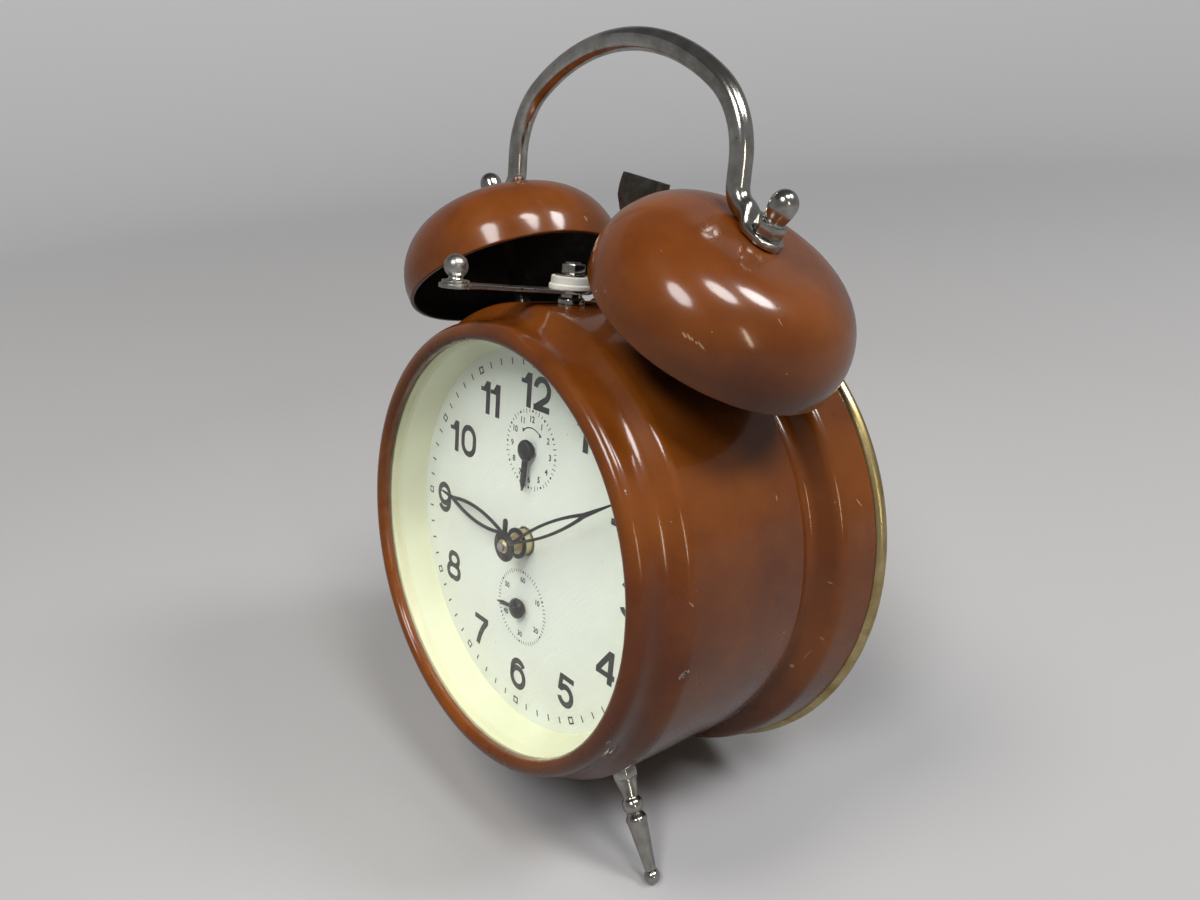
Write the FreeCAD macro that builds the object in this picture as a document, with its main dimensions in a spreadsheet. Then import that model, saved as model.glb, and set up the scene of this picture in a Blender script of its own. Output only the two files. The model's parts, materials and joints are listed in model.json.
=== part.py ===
import FreeCAD, Part
import math
import os
import Sketcher

# Twin bell alarm clock, in millimetres.
# Each piece is drawn in the clock's own frame: the drum's axis is Z, the dial's face is Z = 0,
# +Z comes out of the dial, +Y is 12 o'clock and +X is 3 o'clock.
# stand() then leans the whole clock back onto its two legs and the rear rim, with the floor at Z = 0.

# Driving dimensions, each measured on the clock
dimensions = {
    # drum and bezel, radii from the drum's axis and places along it
    "lip_radius": 50.4,
    "lip_front": 12.4,
    "lip_thick": 1.2,
    "bezel_crest_radius": 52.3,
    "bezel_front": 14.4,
    "bezel_radius": 57.0,
    "bezel_side": 8.0,
    "groove_radius": 56.1,
    "groove_front": 4.4,
    "groove_back": 1.4,
    "waist_radius": 58.5,
    "waist_front": -1.8,
    "waist_back": -34.0,
    "step_drop": 0.9,
    "step_length": 2.6,
    "flare_radius": 60.6,
    "flare_place": -42.0,
    "shoulder_radius": 63.4,
    "shoulder_place": -47.5,
    "case_end_radius": 64.5,
    "case_back": -56.6,
    "case_wall": 1.0,
    # back cover
    "cover_wall": 0.8,
    "cover_gap": 0.2,
    "cover_skirt": 3.6,
    "cover_bead": 1.8,
    "cover_recess": 1.6,
    # crystal, ring and dial
    "crystal_wall": 1.4,
    "crystal_rise": 2.5,
    "crystal_gap": 0.1,
    "ring_wall": 0.8,
    "ring_dial_radius": 48.2,
    "seat_radius": 53.2,
    "dial_thick": 0.6,
    "dial_radius": 52.0,
    "alarm_height": 23.8,
    "seconds_drop": 18.1,
    # hands
    "hour_hand_reach": 35.4,
    "minute_hand_reach": 44.5,
    "hand_thick": 0.5,
    "hub_radius": 3.9,
    "hour_hand_place": 2.4,
    "minute_hand_place": 6.1,
    "small_hub_radius": 2.65,
    "alarm_hand_reach": 10.5,
    "seconds_hand_reach": 8.6,
    "small_hand_place": 1.2,
    # bells and what holds them, heights measured out from the drum's axis
    "bell_tilt": 30.9,
    "bell_plane": 18.9,
    "bell_radius": 30.0,
    "bell_rim_height": 70.2,
    "bell_skirt_height": 74.0,
    "bell_crown_height": 90.6,
    "bell_wall": 1.2,
    "post_radius": 2.3,
    "thread_radius": 1.9,
    "fit": 0.05,
    "foot_thick": 2.0,
    "foot_width": 8.4,
    "acorn_flats": 6.2,
    "acorn_hex": 2.4,
    "acorn_radius": 2.85,
    "acorn_length": 8.4,
    # carrying handle
    "handle_wire": 5.0,
    "handle_half_width": 38.7,
    "handle_side_radius": 20.0,
    "handle_top_radius": 52.7,
    "handle_top": 118.6,
    "handle_bend": 7.0,
    # hammer
    "hammer_place": 8.6,
    "hammer_reach": 31.9,
    "arm_height": 62.9,
    "arm_thick": 0.9,
    "arm_width": 5.0,
    "ball_radius": 3.3,
    "ball_height": 67.4,
    "shaft_radius": 1.85,
    "bearing_radius": 2.9,
    "bearing_top": 61.6,
    "tail_low": 33.8,
    # stop lever
    "stop_place": 22.2,
    "stop_pivot_height": 40.0,
    "stop_lean": 9.3,
    "stop_swing": 17.0,
    "stop_thick": 1.0,
    "stop_tab_width": 15.2,
    "stop_tab_top": 49.6,
    "stop_stem_width": 6.0,
    # legs
    "leg_angle": 31.2,
    "leg_place": 10.0,
    "leg_tip": 88.6,
    "leg_foot_radius": 1.95,
    "leg_flats": 6.0,
    # movement
    "plate_size": 84.0,
    "plate_corner": 20.0,
    "plate_thick": 1.4,
    "front_plate_place": 4.6,
    "plate_gap": 24.0,
    "pillar_radius": 2.2,
    "arbor_radius": 0.8,
    "centre_arbor_radius": 1.2,
    "wheel_thick": 1.0,
    # winding and setting
    "key_width": 26.0,
    "key_height": 10.0,
    "key_thick": 1.6,
    "key_hub_radius": 3.2,
    "hand_knob_radius": 6.0,
    "alarm_knob_radius": 5.0,
    "knob_height": 7.0,
}

document = FreeCAD.newDocument("twin_bell_alarm_clock")
sheet = document.addObject("Spreadsheet::Sheet", "Sizes")
for row, (alias, millimetres) in enumerate(dimensions.items(), start=1):
    sheet.set("A%d" % row, alias)
    sheet.set("B%d" % row, str(millimetres))
    sheet.setAlias("B%d" % row, alias)
document.recompute()


class Size:
    # a number together with the spreadsheet expression that gives it

    def __init__(self, value, text):
        self.value = float(value)
        self.text = text

    def __add__(self, other):
        return Size(self.value + number(other), "(%s + %s)" % (self.text, text(other)))

    def __radd__(self, other):
        return Size(number(other) + self.value, "(%s + %s)" % (text(other), self.text))

    def __sub__(self, other):
        return Size(self.value - number(other), "(%s - %s)" % (self.text, text(other)))

    def __rsub__(self, other):
        return Size(number(other) - self.value, "(%s - %s)" % (text(other), self.text))

    def __mul__(self, other):
        return Size(self.value * number(other), "(%s * %s)" % (self.text, text(other)))

    def __rmul__(self, other):
        return Size(number(other) * self.value, "(%s * %s)" % (text(other), self.text))

    def __truediv__(self, other):
        return Size(self.value / number(other), "(%s / %s)" % (self.text, text(other)))

    def __neg__(self):
        return Size(-self.value, "(0 - %s)" % self.text)

    def __float__(self):
        return self.value


def number(value):
    return value.value if isinstance(value, Size) else float(value)


def text(value):
    return value.text if isinstance(value, Size) else "(%r)" % float(value)


class Sheet:
    # dim.NAME is the spreadsheet's cell of that name

    def __getattr__(self, name):
        return Size(dimensions[name], "Sizes.%s" % name)


dim = Sheet()
vector = FreeCAD.Vector
pieces = {}


# Where the clock stands

def lean_angle():
    # the rear rim's bead and the two ball feet touch the floor together
    spread = math.radians(dimensions["leg_angle"])
    foot = number(foot_ball)
    bead = dimensions["cover_bead"]
    foot_drop = (dimensions["leg_tip"] - foot) * math.cos(spread)
    bead_drop = number(bead_centre)
    run = number(-bead_place) - dimensions["leg_place"]
    fall = foot_drop - bead_drop
    reach = math.hypot(run, fall)
    return math.atan2(fall, run) + math.asin((foot - bead) / reach)


foot_ball = dim.leg_foot_radius
bead_centre = dim.case_end_radius - 0.3
bead_place = dim.case_back - dim.cover_gap - dim.cover_bead
lean = lean_angle()
foot_height = (dimensions["leg_tip"] - number(foot_ball)) * math.cos(math.radians(dimensions["leg_angle"]))
floor_lift = foot_height * math.cos(lean) + dimensions["leg_place"] * math.sin(lean) + number(foot_ball)
leaning = FreeCAD.Placement(
    vector(0, 0, floor_lift),
    FreeCAD.Rotation(vector(1, 0, 0), 90 - math.degrees(lean)),
)


def at(x, y, z, turn=None):
    return FreeCAD.Placement(vector(number(x), number(y), number(z)), turn or FreeCAD.Rotation())


def about(axis, degrees):
    return FreeCAD.Rotation(vector(*axis), number(degrees))


# Bodies, sketches and features

def new_body(name, place=None):
    body = document.addObject("PartDesign::Body", name)
    body.Label = name
    body.Placement = place or FreeCAD.Placement()
    pieces[name] = body
    return body


def bind(feature, prop, value):
    if isinstance(value, Size):
        feature.setExpression(prop, value.text)


def new_sketch(body, role, name, height=0.0, offset=None):
    sketch = body.newObject("Sketcher::SketchObject", name)
    plane = [item for item in body.Origin.OriginFeatures if item.Role == role][0]
    sketch.AttachmentSupport = [(plane, "")]
    sketch.MapMode = "FlatFace"
    sketch.AttachmentOffset = offset or FreeCAD.Placement(vector(0, 0, number(height)), FreeCAD.Rotation())
    if offset is None:
        bind(sketch, "AttachmentOffset.Base.z", height)
    return sketch


def fix(sketch, kind, edge, end, value):
    # a sketch point's distance from the origin, along X or Y
    if not isinstance(value, Size) and abs(value) < 1e-9:
        axis = -2 if kind == "DistanceX" else -1
        sketch.addConstraint(Sketcher.Constraint("PointOnObject", edge, end, axis))
        return
    index = sketch.addConstraint(Sketcher.Constraint(kind, -1, 1, edge, end, number(value)))
    bind(sketch, "Constraints[%d]" % index, value)


def arc_between(start, end, radius):
    # the shorter arc from start to end, counter-clockwise when the radius is positive
    across = end.sub(start)
    half = across.Length / 2
    rise = math.sqrt(max(radius * radius - half * half, 0.0))
    left = vector(-across.y, across.x, 0).normalize()
    side = 1 if radius > 0 else -1
    centre = start.add(end).multiply(0.5).add(left.multiply(side * rise))
    first, last = (start, end) if radius > 0 else (end, start)
    begin = math.atan2(first.y - centre.y, first.x - centre.x)
    finish = math.atan2(last.y - centre.y, last.x - centre.x)
    if finish < begin:
        finish += 2 * math.pi
    return Part.ArcOfCircle(Part.Circle(centre, vector(0, 0, 1), abs(radius)), begin, finish)


def outline(sketch, corners):
    # a closed outline; a corner's third value is the radius of the arc that leaves it
    spots = [vector(number(corner[0]), number(corner[1]), 0) for corner in corners]
    count = len(corners)
    starts = []
    for index, corner in enumerate(corners):
        start, end = spots[index], spots[(index + 1) % count]
        if len(corner) == 3:
            edge = sketch.addGeometry(arc_between(start, end, number(corner[2])))
            starts.append((edge, 1, 2) if number(corner[2]) > 0 else (edge, 2, 1))
        else:
            edge = sketch.addGeometry(Part.LineSegment(start, end))
            starts.append((edge, 1, 2))
    for index, corner in enumerate(corners):
        edge, first, last = starts[index]
        after = starts[(index + 1) % count]
        sketch.addConstraint(Sketcher.Constraint("Coincident", edge, last, after[0], after[1]))
        fix(sketch, "DistanceX", edge, first, corner[0])
        fix(sketch, "DistanceY", edge, first, corner[1])
        if len(corner) == 3:
            radius = corner[2] if number(corner[2]) > 0 else -corner[2]
            index = sketch.addConstraint(Sketcher.Constraint("Radius", edge, number(radius)))
            bind(sketch, "Constraints[%d]" % index, radius)
    return sketch


def circle(sketch, x, y, radius):
    centre = vector(number(x), number(y), 0)
    edge = sketch.addGeometry(Part.Circle(centre, vector(0, 0, 1), number(radius)))
    fix(sketch, "DistanceX", edge, 3, x)
    fix(sketch, "DistanceY", edge, 3, y)
    index = sketch.addConstraint(Sketcher.Constraint("Radius", edge, number(radius)))
    bind(sketch, "Constraints[%d]" % index, radius)
    return sketch


def turned(body, corners, name="turned"):
    # a revolve of an outline given as radius and height, about the body's Z axis
    sketch = outline(new_sketch(body, "XZ_Plane", name + "_outline"), corners)
    feature = body.newObject("PartDesign::Revolution", name)
    feature.Profile = sketch
    feature.ReferenceAxis = (sketch, ["V_Axis"])
    feature.Angle = 360
    sketch.Visibility = False
    return feature


def pad(body, sketch, length, name="pad"):
    feature = body.newObject("PartDesign::Pad", name)
    feature.Profile = sketch
    feature.Length = number(length)
    bind(feature, "Length", length)
    return feature


def cut(body, sketch, depth, name="cut"):
    # cuts from the sketch's plane towards its back; the volume has to fall
    document.recompute()
    before = body.Shape.Volume
    feature = body.newObject("PartDesign::Pocket", name)
    feature.Profile = sketch
    feature.Length = number(depth)
    bind(feature, "Length", depth)
    document.recompute()
    if body.Shape.Volume > before - 1e-3:
        raise RuntimeError("%s in %s cuts nothing" % (name, body.Label))
    return feature


def repeat(body, feature, sketch, count, name="pattern"):
    pattern = body.newObject("PartDesign::PolarPattern", name)
    pattern.Originals = [feature]
    pattern.Axis = (sketch, ["N_Axis"])
    pattern.Angle = 360
    pattern.Occurrences = count
    body.Tip = pattern
    return pattern


def rod(body, low, high, radius, name="rod", bore=None):
    sketch = circle(new_sketch(body, "XY_Plane", name + "_circle", low), 0, 0, radius)
    if bore is not None:
        circle(sketch, 0, 0, bore)
    return pad(body, sketch, high - low, name)


def hexagon(body, low, high, flats, name="hexagon", bore=None):
    corner = flats / math.sqrt(3)
    half = corner / 2
    sketch = outline(
        new_sketch(body, "XY_Plane", name + "_outline", low),
        [(corner, 0), (half, flats / 2), (-half, flats / 2), (-corner, 0), (-half, -flats / 2), (half, -flats / 2)],
    )
    if bore is not None:
        circle(sketch, 0, 0, bore)
    return pad(body, sketch, high - low, name)


# Toothed wheels: a plain disc with straight-sided teeth, slim enough to run free

tooth_height = 0.8
tooth_depth = 1.25
tooth_root = 0.66
tooth_tip = 0.314


def toothed(body, teeth, module, low, thick, name, bore=None):
    root = module * (teeth / 2 - tooth_depth)
    tip = module * (teeth / 2 + tooth_height)
    disc = circle(new_sketch(body, "XY_Plane", name + "_disc", low), 0, 0, root)
    if bore is not None:
        circle(disc, 0, 0, bore)
    pad(body, disc, thick, name + "_blank")
    sunk = root - 0.2 * module
    sketch = outline(
        new_sketch(body, "XY_Plane", name + "_tooth", low),
        [
            (sunk, -tooth_root * module),
            (tip, -tooth_tip * module),
            (tip, tooth_tip * module),
            (sunk, tooth_root * module),
        ],
    )
    tooth = pad(body, sketch, thick, name + "_tooth_pad")
    return repeat(body, tooth, sketch, teeth, name + "_teeth")


def mesh_turn(driver, driver_turn, driver_teeth, follower, follower_teeth):
    # the turn that sets a gap of the follower on a tooth of the driver, in degrees
    towards = math.degrees(math.atan2(follower[1] - driver[1], follower[0] - driver[0]))
    driver_pitch = 360 / driver_teeth
    follower_pitch = 360 / follower_teeth
    phase = (towards - driver_turn) / driver_pitch
    return towards + 180 - follower_pitch * (0.5 - phase)


def beside(origin, distance, degrees):
    angle = math.radians(degrees)
    return (origin[0] + distance * math.cos(angle), origin[1] + distance * math.sin(angle))


# Places along the drum that several pieces share, all behind the dial
back_of_dial = -dim.dial_thick
front_plate_face = -dim.front_plate_place
front_plate_back = front_plate_face - dim.plate_thick
back_plate_face = front_plate_back - dim.plate_gap
back_plate_back = back_plate_face - dim.plate_thick
cover_inner = bead_place - dim.cover_bead + dim.cover_recess + dim.cover_wall
cover_outer = cover_inner - dim.cover_wall


# Drum: one pressed shell from the rolled lip, over the bezel's bead and groove, to the flared back

def case_outline():
    step_radius = dim.waist_radius - dim.step_drop
    step_place = dim.waist_back - dim.step_length
    outside = [
        (dim.waist_radius, dim.waist_front),
        (dim.waist_radius, dim.waist_back, -4.2),
        (step_radius, step_place, 6.5),
        (dim.flare_radius, dim.flare_place, -5.5),
        (dim.shoulder_radius, dim.shoulder_place),
    ]
    wall = dim.case_wall
    return [
        (dim.lip_radius, dim.lip_front, -2.4),
        (dim.bezel_crest_radius, dim.bezel_front, -5.8),
        (dim.bezel_radius, dim.bezel_side, -8.0),
        (dim.groove_radius, dim.groove_front, 2.4),
        (dim.groove_radius, dim.groove_back, -3.4),
    ] + outside + [
        (dim.case_end_radius, dim.case_back),
        (dim.case_end_radius - wall, dim.case_back),
        (dim.shoulder_radius - wall, dim.shoulder_place, 5.5),
        (dim.flare_radius - wall, dim.flare_place, -6.5),
        (step_radius - wall, step_place, 4.2),
        (dim.waist_radius - wall, dim.waist_back),
        (dim.waist_radius - wall, dim.waist_front, 3.4),
        (dim.groove_radius - wall, dim.groove_back, -2.4),
        (dim.groove_radius - wall, dim.groove_front),
        (dim.groove_radius - wall, dim.bezel_side),
        (dim.seat_radius + 0.4, dim.lip_front - dim.lip_thick),
        (dim.lip_radius, dim.lip_front - dim.lip_thick),
    ]


def outward(angle, place, height):
    # a plane square to a line that leaves the drum's axis at an angle from 12 o'clock
    tilt = math.radians(number(angle))
    direction = vector(math.sin(tilt), math.cos(tilt), 0)
    return FreeCAD.Placement(
        direction * number(height) + vector(0, 0, -number(place)),
        FreeCAD.Rotation(vector(0, 0, 1), direction),
    )


def make_case():
    body = new_body("case_shell")
    turned(body, case_outline(), "drum")
    deep = 6 * dim.case_wall
    above = dim.waist_radius + 3 * dim.case_wall
    hole = dim.thread_radius + dim.fit
    leg_side = 180 - dim.leg_angle
    for name, angle, place in (
        ("right_bell_hole", dim.bell_tilt, dim.bell_plane),
        ("left_bell_hole", -dim.bell_tilt, dim.bell_plane),
        ("right_leg_hole", leg_side, dim.leg_place),
        ("left_leg_hole", -leg_side, dim.leg_place),
    ):
        sketch = new_sketch(body, "XY_Plane", name + "_circle", offset=outward(angle, place, above))
        cut(body, circle(sketch, 0, 0, hole), deep, name)
    sketch = new_sketch(body, "XY_Plane", "hammer_hole_circle", offset=outward(0, dim.hammer_place, above))
    cut(body, circle(sketch, 0, 0, dim.bearing_radius + dim.fit), deep, "hammer_hole")
    rise = dim.waist_radius - dim.stop_pivot_height
    swept = rise * math.tan(math.radians(number(dim.stop_lean))) + dim.stop_stem_width / 2 + 1.2
    wide = dim.stop_thick / 2 + 0.5
    sketch = new_sketch(body, "XY_Plane", "stop_slot_outline", offset=outward(0, dim.stop_place, above))
    outline(sketch, [(-swept, -wide), (swept, -wide), (swept, wide), (-swept, wide)])
    cut(body, sketch, deep, "stop_slot")


def make_cover():
    body = new_body("back_cover")
    skirt_radius = dim.shoulder_radius - dim.case_wall + 0.4
    skirt_inner = skirt_radius - dim.cover_wall
    face = dim.case_back - dim.cover_gap
    bead = dim.cover_bead
    rear = bead_place - bead
    turned(body, [
        (0, cover_inner),
        (skirt_inner - 1.0, cover_inner),
        (skirt_inner, cover_inner + 1.0),
        (skirt_inner, dim.case_back + dim.cover_skirt),
        (skirt_radius, dim.case_back + dim.cover_skirt),
        (skirt_radius, face),
        (bead_centre, face, -bead),
        (bead_centre + bead, bead_place, -bead),
        (bead_centre, rear),
        (skirt_inner + 0.4, rear),
        (skirt_inner - 1.2, cover_outer),
        (0, cover_outer),
    ], "cover")
    sketch = new_sketch(body, "XY_Plane", "openings", cover_inner + 0.5)
    circle(sketch, *time_barrel, winding_radius + 0.6)
    circle(sketch, *alarm_barrel, winding_radius + 0.6)
    circle(sketch, 0, 0, dim.centre_arbor_radius + 0.4)
    circle(sketch, 0, dim.alarm_height, dim.arbor_radius + 0.6)
    for x, y in post_places:
        circle(sketch, x, y, screw_radius + dim.fit)
    cut(body, sketch, dim.cover_wall + 1.0, "arbor_holes")
    # the curved slot that the regulator's pin reaches through
    inner, outer = regulator_reach - 1.3, regulator_reach + 1.3
    half = math.radians(35)
    middle = math.radians(135)
    low, high = middle - half, middle + half
    x, y = balance_place
    slot = new_sketch(body, "XY_Plane", "regulator_slot_outline", cover_inner + 0.5)
    outline(slot, [
        (x + outer * math.cos(low), y + outer * math.sin(low), outer),
        (x + outer * math.cos(high), y + outer * math.sin(high)),
        (x + inner * math.cos(high), y + inner * math.sin(high), -inner),
        (x + inner * math.cos(low), y + inner * math.sin(low)),
    ])
    cut(body, slot, dim.cover_wall + 1.0, "regulator_slot")


def make_crystal():
    body = new_body("crystal")
    top = dim.lip_front - dim.lip_thick - dim.crystal_gap
    low = top - dim.crystal_wall
    edge = dim.lip_radius - 0.2
    radius = (edge * edge + dim.crystal_rise * dim.crystal_rise) / (2 * dim.crystal_rise)
    turned(body, [
        (0, low + dim.crystal_rise, -radius),
        (edge, low),
        (dim.seat_radius, low),
        (dim.seat_radius, top),
        (edge, top, radius),
        (0, top + dim.crystal_rise),
    ], "dome")


def make_ring():
    body = new_body("sloped_ring")
    top = dim.lip_front - dim.lip_thick - dim.crystal_gap - dim.crystal_wall - dim.crystal_gap
    wide = dim.lip_radius + 0.3
    turned(body, [
        (wide, top),
        (dim.seat_radius - 0.2, top),
        (dim.seat_radius - 0.2, top - dim.ring_wall),
        (wide + 1.1, top - dim.ring_wall),
        (dim.ring_dial_radius + 1.1, 0),
        (dim.ring_dial_radius, 0),
    ], "ring")


def make_dial():
    body = new_body("dial")
    rod(body, back_of_dial, 0, dim.dial_radius, "plate")
    feet = new_sketch(body, "XY_Plane", "feet_circles", front_plate_face)
    for x, y in ((32.0, 22.0), (32.0, -22.0), (-33.0, -20.0), (-30.0, 24.0)):
        circle(feet, x, y, 1.2)
    pad(body, feet, dim.front_plate_place - dim.dial_thick, "feet")
    holes = new_sketch(body, "XY_Plane", "hand_holes", 0.5)
    circle(holes, 0, 0, hour_pipe_radius + 0.5)
    circle(holes, 0, dim.alarm_height, dim.arbor_radius + 0.5)
    circle(holes, 0, -dim.seconds_drop, dim.arbor_radius + 0.5)
    cut(body, holes, dim.dial_thick + 1.0, "hand_holes_cut")


# Bells, posts, acorn nuts and the handle, each about the line that leaves the drum at the bell's tilt

def on_bell_line(side):
    tilt = -side * number(dim.bell_tilt)
    stand_up = FreeCAD.Rotation(vector(1, 0, 0), -90)
    return FreeCAD.Placement(
        vector(0, 0, -number(dim.bell_plane)),
        FreeCAD.Rotation(vector(0, 0, 1), tilt).multiply(stand_up),
    )


def make_bell(name, side):
    body = new_body(name, on_bell_line(side))
    wall = dim.bell_wall
    shoulder = dim.bell_crown_height - dim.bell_skirt_height
    crown = dim.bell_radius - shoulder
    hole = dim.thread_radius + dim.fit
    turned(body, [
        (hole, dim.bell_crown_height),
        (hole, dim.bell_crown_height - wall),
        (crown, dim.bell_crown_height - wall, -(shoulder - wall)),
        (dim.bell_radius - wall, dim.bell_skirt_height),
        (dim.bell_radius - wall - 0.4, dim.bell_rim_height),
        (dim.bell_radius - 0.4, dim.bell_rim_height),
        (dim.bell_radius, dim.bell_skirt_height, shoulder),
        (crown, dim.bell_crown_height),
    ], "shell")


def make_bell_post(name, side):
    body = new_body(name, on_bell_line(side))
    thread = dim.thread_radius
    low = dim.waist_radius - dim.case_wall - 4.0
    high = dim.bell_crown_height + dim.foot_thick + dim.acorn_hex + 1.5
    shoulder = dim.bell_crown_height - dim.bell_wall
    turned(body, [
        (0, low),
        (thread, low),
        (thread, dim.waist_radius),
        (dim.post_radius + 0.7, dim.waist_radius),
        (dim.post_radius + 0.7, dim.waist_radius + 1.6),
        (dim.post_radius, dim.waist_radius + 2.4),
        (dim.post_radius, shoulder - 1.8),
        (dim.post_radius + 0.9, shoulder - 1.4),
        (dim.post_radius + 0.9, shoulder),
        (thread, shoulder),
        (thread, high),
        (0, high),
    ], "post")


def fastener_pair(name, make_one, places):
    # two loose solids of one fastener in one node, each seated at its own place
    seed = new_body(name + "_seed")
    make_one(seed)
    document.recompute()
    del pieces[name + "_seed"]
    pair = document.addObject("Part::Feature", name)
    pair.Label = name
    copies = []
    for place in places:
        copy = seed.Shape.copy()
        copy.Placement = place.multiply(copy.Placement)
        copies.append(copy)
    pair.Shape = Part.makeCompound(copies)
    pieces[name] = pair


def acorn_nut(body):
    base = dim.bell_crown_height + dim.foot_thick
    bore = dim.thread_radius + dim.fit
    hexagon(body, base, base + dim.acorn_hex, dim.acorn_flats, "hexagon", bore)
    neck = base + dim.acorn_hex
    top = base + dim.acorn_hex + dim.acorn_length
    ball = dim.acorn_radius
    turned(body, [
        (bore, neck),
        (ball - 0.45, neck),
        (ball - 0.6, neck + 1.2, 9.0),
        (ball, top - ball, ball),
        (0, top),
        (0, neck + 2.0),
        (bore, neck + 2.0),
    ], "acorn")


def inner_nut(body, top, flats, bore):
    hexagon(body, top - 2.4, top, flats, "nut", bore)


def handle_points():
    # the wire's centre line, in the bells' plane: top arc, side arc, straight drop, bend, run to the foot
    side = number(dim.handle_side_radius)
    top = number(dim.handle_top_radius)
    half = number(dim.handle_half_width)
    crown = number(dim.handle_top) - top
    swing = math.asin((half - side) / (top - side))
    join = vector(top * math.sin(swing), crown + top * math.cos(swing), 0)
    side_centre = vector(half - side, crown + (top - side) * math.cos(swing), 0)
    tilt = math.radians(number(dim.bell_tilt))
    out = vector(math.sin(tilt), math.cos(tilt), 0)
    along = vector(math.cos(tilt), -math.sin(tilt), 0)
    wire_height = number(dim.bell_crown_height + dim.handle_wire / 2)
    seat = out * wire_height
    run = (half - seat.x) / along.x
    corner = seat + along * run
    turn = math.pi / 2 - tilt
    tangent = number(dim.handle_bend) * math.tan(turn / 2)
    return {
        "crown": vector(0, number(dim.handle_top), 0),
        "join": join,
        "side_end": vector(half, side_centre.y, 0),
        "bend_start": vector(half, corner.y + tangent, 0),
        "bend_end": corner + along * tangent,
        "run_end": seat + along * (-6.4),
        "along": along,
        "out": out,
    }


def make_handle():
    body = new_body("carry_handle", at(0, 0, -dim.bell_plane))
    spot = handle_points()
    path = new_sketch(body, "XY_Plane", "wire_path")
    mirrored = {key: vector(-value.x, value.y, 0) for key, value in spot.items()}
    side, top, bend = dim.handle_side_radius, dim.handle_top_radius, dim.handle_bend
    stations = [
        (mirrored["run_end"], None),
        (mirrored["bend_end"], number(bend)),
        (mirrored["bend_start"], None),
        (mirrored["side_end"], -number(side)),
        (mirrored["join"], -number(top)),
        (spot["join"], -number(side)),
        (spot["side_end"], None),
        (spot["bend_start"], number(bend)),
        (spot["bend_end"], None),
        (spot["run_end"], None),
    ]
    for (start, radius), (end, _) in zip(stations, stations[1:]):
        if radius is None:
            path.addGeometry(Part.LineSegment(start, end))
        else:
            path.addGeometry(arc_between(start, end, radius))
    first = mirrored["run_end"]
    heading = mirrored["bend_end"] - first
    ring = new_sketch(
        body, "XY_Plane", "wire_section",
        offset=FreeCAD.Placement(first, FreeCAD.Rotation(vector(0, 0, 1), heading)),
    )
    circle(ring, 0, 0, dim.handle_wire / 2)
    wire = body.newObject("PartDesign::AdditivePipe", "wire")
    wire.Profile = ring
    wire.Spine = (path, [])
    document.recompute()
    for side_name, sign in (("right", 1), ("left", -1)):
        add_handle_foot(body, spot, side_name, sign)


def add_handle_foot(body, spot, side_name, sign):
    # the wire's end, forged flat: a short taper and a plate with a rounded end, drilled for the post
    out = vector(sign * spot["out"].x, spot["out"].y, 0)
    along = vector(sign * spot["along"].x, spot["along"].y, 0)
    across = vector(0, 0, 1)
    section_turn = FreeCAD.Rotation(across, out, along, "ZXY")
    face_turn = FreeCAD.Rotation(along, across, out, "ZXY")
    crown = number(dim.bell_crown_height)
    wire = number(dim.handle_wire)
    flat = number(dim.foot_thick)
    half = dim.foot_width / 2
    round_spot = out * (crown + wire / 2) + along * (-6.4)
    flat_spot = out * (crown + flat / 2) + along * (-3.4)
    start = new_sketch(
        body, "XY_Plane", side_name + "_round_end", offset=FreeCAD.Placement(round_spot, section_turn)
    )
    circle(start, 0, 0, dim.handle_wire / 2)
    end = new_sketch(
        body, "XY_Plane", side_name + "_flat_end", offset=FreeCAD.Placement(flat_spot, section_turn)
    )
    end.addGeometry(Part.Ellipse(vector(0, 0, 0), number(half) - 0.5, flat / 2 - 0.15))
    loft = body.newObject("PartDesign::AdditiveLoft", side_name + "_taper")
    loft.Profile = start
    loft.Sections = [end]
    document.recompute()
    plate = new_sketch(
        body, "XY_Plane", side_name + "_foot_outline", offset=FreeCAD.Placement(out * crown, face_turn)
    )
    outline(plate, [
        (-4.4, -half + 0.8),
        (0.2, -half),
        (1.6, -half, half + 0.4),
        (1.6, half),
        (0.2, half),
        (-4.4, half - 0.8),
    ])
    pad(body, plate, dim.foot_thick, side_name + "_foot")
    document.recompute()
    hole = new_sketch(
        body, "XY_Plane", side_name + "_hole_circle",
        offset=FreeCAD.Placement(out * (crown + flat), face_turn),
    )
    circle(hole, 0, 0, dim.thread_radius + dim.fit)
    cut(body, hole, dim.foot_thick, side_name + "_hole")


# Hammer: a flat arm on an upright shaft that turns in a bearing through the top of the drum

def upright(x=0, place=None):
    # a frame whose Z is the clock's up, standing on the drum's axis
    return at(x, 0, -number(place), about((1, 0, 0), -90))


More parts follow.
